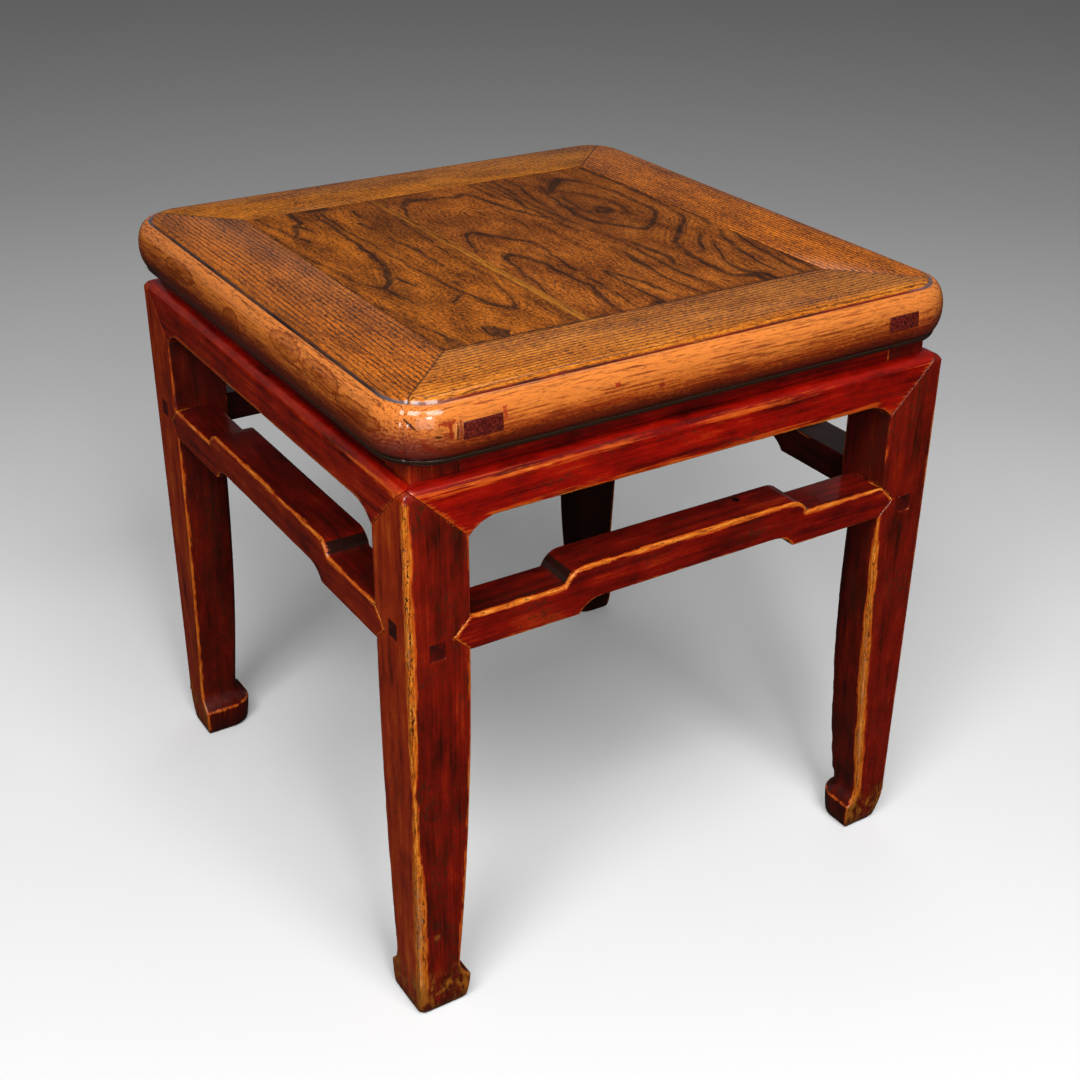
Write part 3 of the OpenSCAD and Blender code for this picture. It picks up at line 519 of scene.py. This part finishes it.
def elmOfPanel(name, light, mid, dark):
    material, add = newMaterial(name)
    place = add("TexCoord", out="Object")
    spot = add("Mapping", {"Vector": place, "Rotation": alongY, "Scale": (1000, 1000, 1000)})
    figure = add("Attribute", out="Fac", attribute_name="figure")
    shade = add("Attribute", out="Fac", attribute_name="shade")

    # the dark lines, their borders ragged, and fainter lines that follow them
    ragged = grainNoise(add, spot, (11, 2.4), 6.0, 0.75)
    wavy = add("Math", add("Math", ragged, 0.5, op="SUBTRACT"), 6.5, figure, op="MULTIPLY_ADD")
    patchy = grainNoise(add, spot, (26, 9), 6.0, 0.7)
    strength = add("MapRange", patchy, 0.36, 0.54, 0.5)
    core = add("MapRange", wavy, -0.4, 0.45)
    line = add("Math", core, strength, op="MULTIPLY")
    soft = add("MapRange", wavy, -4.5, 0.0, 0, 0.36)
    slow = grainNoise(add, spot, (60, 20), 3.0, 0.5)
    drift = add("Math", slow, 14.0, figure, op="MULTIPLY_ADD")
    follow = add("Math", add("Math", drift, 1 / panel["followGap"], op="MULTIPLY"), op="FRACT")
    followBand = add("ValToRGB", follow,
                     stops=[(0.0, 0.75), (0.1, 0.55), (0.3, 0.1), (0.7, 0.0), (0.92, 0.1), (1.0, 0.75)])
    broken = add("MapRange", patchy, 0.4, 0.56, 0.2)
    faint = add("Math", followBand, broken, op="MULTIPLY")
    rings = add("Math", line, faint, op="MAXIMUM")

    dash = grainNoise(add, spot, (6, 0.9), 2.0, 0.6)
    crowd = add("Math", rings, 0.1, dash, op="MULTIPLY_ADD")
    pore = add("MapRange", crowd, 0.59, 0.65)

    # tone: clouds and a fine mottle, darker in the patches and beside the lines
    cloud = grainNoise(add, spot, (50, 22), 6.0, 0.65)
    grit, mottle = elmMottle(add, spot, cloud)
    wood = add("ValToRGB", mottle, stops=[(0.4, dark), (0.5, mid), (0.59, light)])
    darker = add("Math", soft, shade, op="ADD")
    shaded = add("MixRGB", darker, wood, "#4c2208")
    lineColour = add("ValToRGB", cloud, stops=[(0.4, "#2c160a"), (0.6, "#422410")])
    ringed = add("MixRGB", add("Math", rings, 0.9, op="MULTIPLY"), shaded, lineColour)
    pored = add("MixRGB", add("Math", pore, 0.75, op="MULTIPLY"), ringed, "#241107")

    # sapwood beside the seam, brightest towards the front
    middle, end, full = (value * mm for value in panel["strip"])
    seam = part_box("panel_board_wide")[0].x + middle
    side, along = (add("SeparateXYZ", place, out=axis) for axis in ("X", "Y"))
    offSeam = add("Math", add("Math", side, seam, op="SUBTRACT"), op="ABSOLUTE")
    strip = add("MapRange", offSeam, end, full)
    forward = add("MapRange", along, 0.05, -0.04, 0.3, 0.85)
    inStrip = add("Math", strip, forward, op="MULTIPLY")
    notLine = add("Math", rings, -0.9, 1.0, op="MULTIPLY_ADD")
    stripped = add("MixRGB", add("Math", inStrip, notLine, op="MULTIPLY"), pored, "#b06c1e")

    sheen = add("MapRange", patchy, 0.3, 0.7, 0.5, 0.65)
    finishMaterial(add, stripped, sheen, elmRelief(add, grit, pore, rings), frameElm["relief"] * mm,
                   Specular_IOR_Level=0.12)
    return material


print("materials")
frameSide = elmOfFrame("clear_elm_frame_side", alongY, "#da7614", "#a6540a", "#5c2a06", 0.03,
                       ("#241614", "#3e2c26"))
# the front and back rails are two copies of one elm: the front's colours painted lighter as painted light,
# the back's darker as painted shade
frameFrontLit = elmOfFrame("clear_elm_frame_front_painted_light", alongX, "#f4942c", "#ca6e0c", "#803e08", 0.02,
                        ("#2c1410", "#6c1a0c"), frameElm["marks"])
frameBackShaded = elmOfFrame("clear_elm_frame_back_painted_shade", alongX, "#c2721a", "#9c560a", "#602e08", 0.01,
                       ("#2c0f08", "#7c1508"))
boardNarrow = elmOfPanel("clear_elm_board_narrow", "#be681a", "#8e4a0a", "#4e2206")
boardWide = elmOfPanel("clear_elm_board_wide", "#ba6820", "#8a460e", "#4c2006")
brightReds = ("#380402", "#620502", "#800902", "#960e03", "#b02c08")
darkReds = ("#2a0403", "#4c0603", "#640903", "#780e04", "#942808")
deepReds = ("#2e0903", "#520d04", "#681005", "#7a1506", "#942c0c")
lacquerUpright = wornLacquer("red_lacquer_upright", alongZ, deepReds, 0.7, 0.0, 2.0)
apronAlongX = wornLacquer("red_lacquer_apron_x", alongX, brightReds, 0.1, -0.04, 5.5)
apronAlongY = wornLacquer("red_lacquer_apron_y", alongY, brightReds, 0.2, -0.03, 4.0)
stretcherAlongX = wornLacquer("red_lacquer_stretcher_x", alongX, darkReds, 0.1, -0.03, 1.6)
stretcherAlongY = wornLacquer("red_lacquer_stretcher_y", alongY, darkReds, 0.25, -0.03, 1.8)


# Pieces: each visible solid as a worn copy of its CAD node
wearOf = {
    # family: arris softening, mesh step along and across (mm), depth of the wear
    "leg": {"soft": 0.9, "along": 6.0, "across": 3.0, "erode": 0.35},
    "stretcher": {"soft": 0.9, "along": 5.0, "across": 3.0, "erode": 0.4},
    "apron": {"soft": 0.7, "along": 5.0, "across": 3.0, "erode": 0.3},
    "waist": {"soft": 0.4, "along": 6.0, "across": 4.0, "erode": 0.15},
}


def mergedCopy(name):
    # a CAD node's surface with its doubles merged and its flat faces whole again
    bm = bmesh.new()
    bm.from_mesh(nodes[name].data)
    bmesh.ops.remove_doubles(bm, verts=bm.verts, dist=2e-6)
    bmesh.ops.dissolve_limit(bm, angle_limit=math.radians(0.5), verts=bm.verts, edges=bm.edges)
    return bm


def sharpEdges(bm):
    limit = math.radians(32)
    return [e for e in bm.edges if len(e.link_faces) == 2 and e.is_convex and e.calc_face_angle() > limit]


def ofTenon(middle):
    # true for the outlines of the stretchers' tenon ends in the legs' outer faces
    outer, inner = sorted((baseHalf.x - abs(middle.x), baseHalf.y - abs(middle.y)))
    return outer < 0.6 * mm and 5 * mm < inner < 36 * mm and stretcherLow.z < middle.z < stretcherHigh.z


def crossCut(bm, steps):
    # cuts the long flat faces into a grid that can hold the wear
    for axis, step in enumerate(steps):
        places = [v.co[axis] for v in bm.verts]
        low, high = min(places), max(places)
        count = round((high - low) / step)
        normal = Vector([axis == i for i in range(3)])
        for i in range(1, count):
            bmesh.ops.bisect_plane(bm, geom=bm.verts[:] + bm.edges[:] + bm.faces[:], dist=1e-7,
                                   plane_co=normal * (low + (high - low) * i / count), plane_no=normal)


def softenEdges(bm, edges, soft, segments=2):
    bmesh.ops.bevel(bm, geom=edges, offset=soft * mm, offset_type="OFFSET", segments=segments,
                    profile=0.5, affect="EDGES", clamp_overlap=False, material=-1)


def treeOf(marks):
    # search tree of marks, each a point and a width
    tree = kdtree.KDTree(len(marks))
    for i, (point, width) in enumerate(marks):
        tree.insert(point, i)
    tree.balance()
    return tree


def storePiece(bm, name, ending, material):
    # makes the object that stands for the node called name
    mesh = bpy.data.meshes.new(name + ending)
    bm.to_mesh(mesh)
    bm.free()
    mesh.shade_smooth()
    mesh.set_sharp_from_angle(angle=math.radians(35))
    mesh.materials.append(material)
    piece = bpy.data.objects.new(name + ending, mesh)
    bpy.context.scene.collection.objects.link(piece)
    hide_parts(name)
    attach(piece, "root")
    print(" ", name, len(mesh.polygons), "faces")


rubbedLines = {
    # piece: height of the line, then place along the stick and width of bare wood (mm)
    "leg_front_left": [(4, 5.0), (30, 6.0), (60, 5.0), (120, 6.4), (150, 3.6), (200, 2.6), (300, 3.4),
                       (360, 4.2), (440, 3.4)],
    "leg_front_right": [(40, 1.0), (200, 0.4), (320, 1.2), (440, 0.2)],
    "leg_back_left": [(40, 1.6), (180, 0.6), (300, 1.2), (440, 0.0)],
    "leg_back_right": [(40, 1.6), (220, 2.4), (440, 1.0)],
    "apron_front": [(-226, -1.4), (-180, 0.3), (-110, 0.1), (-60, -0.8), (-10, -1.8), (30, 0.0),
                    (100, -0.4), (130, -2.6), (195, -3.6), (226, -1.4)],
    "apron_left": [(-226, 0.4), (-160, 0.0), (-90, -1.2), (0, -3.4), (226, -5.0)],
    "apron_right": [(-226, -0.4), (0, 0.4), (226, -1.2)],
    "apron_back": [(-226, -1.0), (0, 0.6), (226, -0.6)],
}


def extraWear(name):
    # worn bands away from sharp arrises: each leg's outer arris, and the rounded shoulder of the aprons
    family, *where = name.split("_")
    lines = []
    stops = rubbedLines.get(name, [])
    for (at, wide), (nextAt, nextWide) in zip(stops, stops[1:]):
        if family == "leg":
            corner = Vector(((-1 if "left" in where else 1) * (baseHalf.x - 0.7 * mm),
                             (-1 if "front" in where else 1) * (baseHalf.y - 0.7 * mm), 0))
            ends = [corner + Vector((0, 0, place * mm)) for place in (at, nextAt)]
        else:
            low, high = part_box(name)
            top = high.z - 5.6 * mm
            if where[0] in ("front", "back"):
                y = (low.y if where[0] == "front" else high.y) * 0.999
                ends = [Vector((place * mm, y, top)) for place in (at, nextAt)]
            else:
                x = (low.x if where[0] == "left" else high.x) * 0.999
                ends = [Vector((x, place * mm, top)) for place in (at, nextAt)]
        lines.append((*ends, wide, nextWide))
    return lines


unworn, farOff = -9.0, -8.0    # mm: width of no band at all, and what a point far from every band gets


def endGap(name, place):
    # whether a stick runs along x, and the distance of a place on it from the legs' outer faces
    runsX = "front" in name or "back" in name
    return runsX, baseHalf.x - abs(place.x) if runsX else baseHalf.y - abs(place.y)


def wearWidth(family, name, middle, direction):
    # width of bare wood beside an arris, in mm
    upright = abs(direction.z) > 0.85
    slanting = 0.2 < abs(direction.z) < 0.85
    outer = min(baseHalf.x - abs(middle.x), baseHalf.y - abs(middle.y))
    outside = outer < (6 if family == "stretcher" else 8) * mm
    behindApron = family == "leg" and middle.z > apronHigh.z - 12 * mm
    if middle.z > stubLow.z or ofTenon(middle) or behindApron:
        return unworn
    if family == "leg":
        ofHoof, aboveHoof = middle.z < 60 * mm, middle.z > 28 * mm
        if not upright:
            return 0.8 if ofHoof else -1.0
        if middle.z > stretcherLow.z or not outside:
            return 0.2
        if name == "leg_front_right" and aboveHoof:
            leftArris = middle.x < baseHalf.x - 20 * mm
            return 2.6 + 3.0 * (1 - middle.z / stretcherLow.z) if leftArris else 0.6
        return 1.0
    runsX, fromEnd = endGap(name, middle)
    if family == "stretcher":
        if fromEnd < 34 * mm:
            return -0.8    # tenons, and the pointed shoulders on the legs
        upper = middle.z > stretcherLow.z + 14 * mm
        return (2.0 if runsX else 1.5) if outside and upper else 0.6 if outside else -0.6
    if family == "apron":
        return -0.5 if slanting else 1.1 if outside else -1.0
    return unworn if upright else -0.8


def dirtAndPaintedShade(family, name, place, normal):
    # how dark the lacquer is, from 0 to 1: old dirt on tenon ends, stretcher tops and near the floor;
    # painted shade on inward faces, undersides and inside the aprons; the steps up to the raised middle
    # darker
    uneven = 0.5 + 0.5 * noise.noise(place * 60)
    runsX, fromEnd = endGap(name, place)
    if family == "stretcher":
        nearLeg, ofTenonEnd = fromEnd < 55 * mm, fromEnd < 1.5 * mm
        if ofTenonEnd:
            return 0.62
        # the steps up to the raised middle
        steep = abs(normal.x if runsX else normal.y) - 0.45
        atStep = place.z > stretcherLow.z + 15 * mm and fromEnd > 40 * mm
        if atStep and steep > 0 and normal.z > 0.1:
            return min(1.0, steep * 6)
        # painted shade on the stretchers' inward faces
        inward = normal.y * place.y < 0 if runsX else normal.x * place.x < 0
        if inward and abs(normal.z) < 0.5:
            return 0.55 + 0.3 * uneven
        if normal.z > 0.5:
            return (0.3 if runsX else 0.45) + (0.4 if nearLeg else 0.15) * uneven
        # painted shade on the undersides
        return 0.3 * uneven if normal.z < -0.5 else 0.0
    if family == "leg":
        inward = normal.x * place.x + normal.y * place.y < 0
        ofHoof, aboveStretcher = place.z < 55 * mm, place.z > stretcherHigh.z - 10 * mm
        if not inward:
            splashed = max(0.0, 1 - place.z / (40 * mm))
            return 0.2 * uneven * splashed
        # painted shade: inward faces darker, the far leg's darkest
        if name == "leg_back_right":
            return 0.8 + 0.2 * uneven
        if ofHoof:
            return 0.64 + 0.1 * uneven
        return 0.55 + 0.12 * uneven if aboveStretcher else 0.35 + 0.3 * uneven
    if family == "apron":
        # painted shade inside the aprons
        inside = (baseHalf.y - abs(place.y) if runsX else baseHalf.x - abs(place.x)) > 12 * mm
        return 0.75 if inside else 0.12 * uneven
    return 0.35 * uneven


# The real legs, sawn by hand, differ from the model's plain tapered one below the stretchers (mm)
legShape = {
    "stretcher": 320, "ankle": 44, "toe": 26,         # heights of the model's outline
    "top": 318,             # height below which the legs are changed
    "legWide": 48, "ankleWide": 34.5, "toeReach": 44, "flat": 23,
    "faceTop": 45,          # height where the outer faces begin to draw in
    # how far the outer faces and the toe draw in at the floor: in the model, on the real feet
    "faceIn": (7.0, 3.6), "leftIn": 0.8, "toeIn": (9.0, 3.2),
    "toeFade": (50, 20),    # height where the ankle's swell starts to become the toe's, and over how much
    # more width at the ankle along x and y, then more reach of the toe along x and y
    "swell": {"leg_front_left": (0, 4, 0, 4), "leg_front_right": (-2.5, 4, -2.5, -1.5),
              "leg_back_left": (3.5, -2, 5, -1), "leg_back_right": (0, 0, 0, 0)},
    "square": 0.6,          # how far the rounded inner corner has filled out at the ankle
    "corner": (6.5, 30),    # radius of the outer corner at the floor, and height where it begins
    "edge": (5, 1.8),       # height and depth of the rounding round the sole
    "cuts": [0.6, 1.5, 3, 5, 7.5, 10, 13, 16, 19.5, 23, 27, 31, 36],   # heights of finer rows of faces
}


def arcDrop(run, drop, along):
    # how far an arc has left its tangent; it leaves it by drop after run
    radius = (run ** 2 + drop ** 2) / (2 * drop)
    return radius - math.sqrt(radius ** 2 - min(run, max(0.0, along)) ** 2)


def shapedLeg(name, point):
    # moves a point of a leg from the model's plain taper and hoof to the fuller and rounder real ones
    height = point.z / mm
    shape = legShape
    below = shape["top"] - height
    if below < 0:
        return point
    run = shape["stretcher"] - shape["ankle"]
    down = min(1.0, below / run)
    wasOut, rounding = 0.0, 0.0
    isOuts = [0.0, 0.0]
    faceTop = shape["faceTop"]
    if height < faceTop:
        wasDrop, isDrop = shape["faceIn"]
        wasOut = arcDrop(faceTop, wasDrop, faceTop - height)
        isOuts = [arcDrop(faceTop, drop, faceTop - height)
                  for drop in (shape["leftIn"] if "left" in name else isDrop, isDrop)]
    if height > shape["ankle"]:
        narrowing = shape["legWide"] - shape["ankleWide"]
        wasIn = isIn = shape["legWide"] - arcDrop(run, narrowing, shape["stretcher"] - height)
    elif height > shape["toe"]:
        widening = shape["toeReach"] - shape["ankleWide"]
        wasIn = isIn = shape["ankleWide"] + arcDrop(shape["ankle"] - shape["toe"], widening,
                                                    shape["ankle"] - height)
    else:
        wasIn, isIn = (shape["toeReach"] - arcDrop(shape["toe"], drop, shape["toe"] - height)
                       for drop in shape["toeIn"])
        edgeHigh, edgeDeep = shape["edge"]
        rounding = edgeDeep * max(0.0, 1 - max(0.0, height) / edgeHigh) ** 2
    placed = []
    fadeTop, fadeRun = shape["toeFade"]
    toToe = min(1.0, max(0.0, (fadeTop - height) / fadeRun))
    swells = [down * (ankle * (1 - toToe) + toe * toToe)
              for ankle, toe in zip(shape["swell"][name][:2], shape["swell"][name][2:])]
    for half, value, swell, isOut in zip(baseHalf[:2], point[:2], swells, isOuts):
        depth = (half - abs(value)) / mm
        share = (depth - wasOut) / (wasIn - wasOut)
        outside = isOut + rounding
        placed.append(outside + share * (isIn - rounding + swell - outside))
    cornerRadius, cornerTop = shape["corner"]
    radius = cornerRadius * max(0.0, 1 - max(0.0, height) / cornerTop) ** 1.5
    centres = [isOut + rounding + radius for isOut in isOuts]
    gaps = [centre - depth for centre, depth in zip(centres, placed)]
    if radius > 0.1 and min(gaps) > 0:
        shrink = max(gaps) / math.hypot(*gaps)
        placed = [centre - gap * shrink for centre, gap in zip(centres, gaps)]
    past = [depth - shape["flat"] for depth in placed]
    if min(past) > 0:
        grow = 1 + shape["square"] * down * (1 - toToe) * (math.hypot(*past) / max(past) - 1)
        placed = [shape["flat"] + gap * grow for gap in past]
    x, y = (math.copysign(half - depth * mm, value)
            for half, value, depth in zip(baseHalf[:2], point[:2], placed))
    return Vector((x, y, point.z))


def wornPiece(name, material):
    family = name.split("_")[0]
    settings = wearOf[family]
    bm = mergedCopy(name)
    lines = []
    for edge in sharpEdges(bm):
        a, b = (v.co.copy() for v in edge.verts)
        width = wearWidth(family, name, (a + b) / 2, (b - a).normalized())
        lines.append((a, b, width, width))
    lines += extraWear(name)
    marks = []
    markGap, reach = 1.5 * mm, 12 * mm
    for a, b, width, endWidth in lines:
        count = max(1, round((b - a).length / markGap))
        for i in range(count + 1):
            point = a.lerp(b, i / count)
            here = width + (endWidth - width) * i / count
            ragged = here * (1.0 + 0.7 * noise.noise(point * 17)) + 0.5 * noise.noise(point * 45)
            marks.append((point, ragged))
    tree = treeOf(marks)

    eased = [e for e in sharpEdges(bm) if not ofTenon((e.verts[0].co + e.verts[1].co) / 2)]
    softenEdges(bm, eased, settings["soft"], segments=3)
    box = [max(v.co[i] for v in bm.verts) - min(v.co[i] for v in bm.verts) for i in range(3)]
    long = box.index(max(box))
    crossCut(bm, [(settings["along"] if i == long else settings["across"]) * mm for i in range(3)])
    for height in legShape["cuts"] if family == "leg" else ():
        bmesh.ops.bisect_plane(bm, geom=bm.verts[:] + bm.edges[:] + bm.faces[:], dist=1e-7,
                               plane_co=(0, 0, height * mm), plane_no=(0, 0, 1))

    # distance left inside the worn band at each point, in mm; then the wood is worn back there
    wornLayer = bm.verts.layers.float.new("worn")
    grimeAndShadeLayer = bm.verts.layers.float.new("grime")
    bm.normal_update()
    for v in bm.verts:
        found = [marks[i][1] - gap / mm for point, i, gap in tree.find_range(v.co, reach)]
        v[wornLayer] = max(found) if found else farOff
        v[grimeAndShadeLayer] = dirtAndPaintedShade(family, name, v.co, v.normal)
    for v in bm.verts:
        ripple = noise.noise(v.co * 22) * 0.12
        depth = min(1.0, max(0.0, (v[wornLayer] + 1.0) / 3.0)) * settings["erode"]
        v.co += v.normal * (ripple - depth * (0.6 + noise.noise(v.co * 90))) * mm
        if family == "leg":
            v.co = shapedLeg(name, v.co)
    storePiece(bm, name, "_worn", material)


print("lacquered base")
for side in ("front", "back"):
    wornPiece("waist_" + side, apronAlongX)
    wornPiece("apron_" + side, apronAlongX)
    wornPiece("stretcher_" + side, stretcherAlongX)
for side in ("left", "right"):
    wornPiece("waist_" + side, apronAlongY)
    wornPiece("apron_" + side, apronAlongY)
    wornPiece("stretcher_" + side, stretcherAlongY)
for corner in ("front_left", "front_right", "back_left", "back_right"):
    wornPiece("leg_" + corner, lacquerUpright)


def easedPiece(name, material, soft):
    # frame and panel pieces keep their moulded shape, with the arrises just broken
    bm = mergedCopy(name)
    softenEdges(bm, sharpEdges(bm), soft)
    storePiece(bm, name, "_eased", material)


def boardPiece(name, material, lines):
    # a panel board whose upper face is a fine grid that carries the distance to the dark lines
    bm = mergedCopy(name)
    softenEdges(bm, sharpEdges(bm), panel["soft"])
    bm.normal_update()
    top = max((f for f in bm.faces if f.normal.z > 0.99), key=lambda f: f.calc_area())
    corners = [v.co.copy() for v in top.verts]
    low, high = (Vector([pick(c[i] for c in corners) for i in range(3)]) for pick in (min, max))
    bmesh.ops.delete(bm, geom=[top], context="FACES_ONLY")
    columns, rows = (round((high[i] - low[i]) / (panel["mesh"] * mm)) for i in (0, 1))
    middle = Matrix.Translation((low + high) / 2) @ Matrix.Diagonal((high.x - low.x, high.y - low.y, 1, 1))
    bmesh.ops.create_grid(bm, x_segments=columns, y_segments=rows, size=0.5, matrix=middle)

    marks = []
    for points in lines:
        for (x, y, width), (nextX, nextY, nextWidth) in zip(points, points[1:]):
            count = max(1, round(math.hypot(nextX - x, nextY - y)))
            for i in range(count + 1):
                t = i / count
                place = Vector((x + (nextX - x) * t, y + (nextY - y) * t, 0)) * mm
                bend = noise.noise(place * 55) * panel["bend"]
                marks.append((place + Vector((bend, 0, 0)) * mm, width + (nextWidth - width) * t))
    tree = treeOf(marks)
    figure = bm.verts.layers.float.new("figure")
    shade = bm.verts.layers.float.new("shade")
    for v in bm.verts:
        flat = Vector((v.co.x, v.co.y, 0))
        v[figure] = max(marks[i][1] / 2 - gap / mm for point, i, gap in tree.find_n(flat, 6))
        deep = [depth * math.exp(-((v.co.x / mm - x) / wide) ** 2 - ((v.co.y / mm - y) / long) ** 2)
                for x, y, wide, long, depth in panel["shade"]]
        v[shade] = min(0.8, sum(deep))
    storePiece(bm, name, "_eased", material)


print("top")
for side in ("left", "right"):
    easedPiece("frame_rail_" + side, frameSide, 0.4)
for side, material in (("front", frameFrontLit), ("back", frameBackShaded)):
    # 0.1 mm, because the sockets' upper edges lie 0.14 mm under a line of the moulding
    easedPiece("frame_rail_" + side, material, 0.1)
    for end in ("left", "right"):
        easedPiece("frame_wedge_" + side + "_" + end, material, 0.2)
boardPiece("panel_board_narrow", boardNarrow, panel["narrow"])
boardPiece("panel_board_wide", boardWide, panel["wide"])
for name in ("batten_front", "batten_back"):
    nodes[name].data.materials.clear()
    nodes[name].data.materials.append(frameFrontLit)


# Stage: a pale floor painted darker towards the back as painted light falloff, as on a studio sweep, and
# glowing faintly for the camera as painted light that lifts the shadows on it (metres)
print("stage")
stage = {"size": 30.0, "toward": (0.5393, 0.8421, 0), "fall": (-0.6, 4.6), "bounce": "#2c2a28",
         "glow": 0.1, "sky": 0.11}
bpy.ops.mesh.primitive_plane_add(size=stage["size"])
floor = bpy.context.object
floor.name = "studio_floor"
paint, add = newMaterial("studio_floor_paint")
across = add("VectorMath", add("TexCoord", out="Object"), stage["toward"], out="Value", op="DOT_PRODUCT")
sweep = add("ValToRGB", add("MapRange", across, *stage["fall"]),
            stops=[(0.0, "#dddddd"), (0.17, "#dcdcdc"), (0.22, "#d0d0d0"), (0.28, "#c3c3c3"),
                   (0.36, "#bdbdbd"), (0.47, "#b2b2b2"), (0.63, "#adadad"), (0.9, "#a8a8a8")])
seen = add("LightPath", out="Is Camera Ray")
paintColour = add("MixRGB", seen, stage["bounce"], sweep)
glow = add("Math", seen, stage["glow"], op="MULTIPLY")
shader = add("BsdfPrincipled", {"Base Color": paintColour, "Roughness": 0.7, "Specular IOR Level": 0.0,
                                "Emission Color": sweep, "Emission Strength": glow})
add("OutputMaterial", shader)
floor.data.materials.append(paint)

lamps = {
    # name: place, size, watts; softboxes beside the camera, a dim one behind, two small ones for glints
    "left_softbox": ((-1.38, -1.07, 2.3), 1.0, 42),
    "right_softbox": ((-0.2, -1.75, 2.3), 1.0, 42),
    "front_fill": ((-0.85, -1.75, 0.9), 1.0, 8),
    "back_softbox": ((0.75, 0.9, 2.5), 1.2, 5),
    "left_glint": ((-2.07, -1.44, 0.7), 0.25, 5),
    "right_glint": ((-0.72, -2.08, 1.55), 0.3, 9),
}
for name, (spot, size, watts) in lamps.items():
    light = bpy.data.lights.new(name, "AREA")
    light.energy = watts
    light.shape = "SQUARE"
    light.size = size
    lamp = bpy.data.objects.new(name, light)
    lamp.location = spot
    lamp.rotation_euler = (Vector((0, 0, 0.3)) - Vector(spot)).to_track_quat("-Z", "Y").to_euler()
    bpy.context.scene.collection.objects.link(lamp)

world = bpy.data.worlds.new("studio")
world.use_nodes = True
world.node_tree.nodes.clear()
sky = addNode(world.node_tree, "Background", "#ffffff", stage["sky"])
addNode(world.node_tree, "OutputWorld", sky)
bpy.context.scene.world = world

# Camera at the photograph's place
shot = {"place": (-0.6340, -1.0311, 0.9028), "turn": -32.903, "tilt": 28.376, "roll": 0.8115,
        "lens": 52.52, "shift": (-0.0134, -0.0065)}
camera = bpy.data.cameras.new("camera")
camera.sensor_width = 36
camera.lens = shot["lens"]
camera.shift_x, camera.shift_y = shot["shift"]
camera.clip_end = 60
viewer = bpy.data.objects.new("camera", camera)
viewer.matrix_world = (Matrix.Translation(shot["place"])
                       @ Matrix.Rotation(math.radians(shot["turn"]), 4, "Z")
                       @ Matrix.Rotation(math.radians(90 - shot["tilt"]), 4, "X")
                       @ Matrix.Rotation(math.radians(shot["roll"]), 4, "Z"))
bpy.context.scene.collection.objects.link(viewer)
bpy.context.scene.camera = viewer
bpy.context.scene.view_settings.view_transform = "Standard"
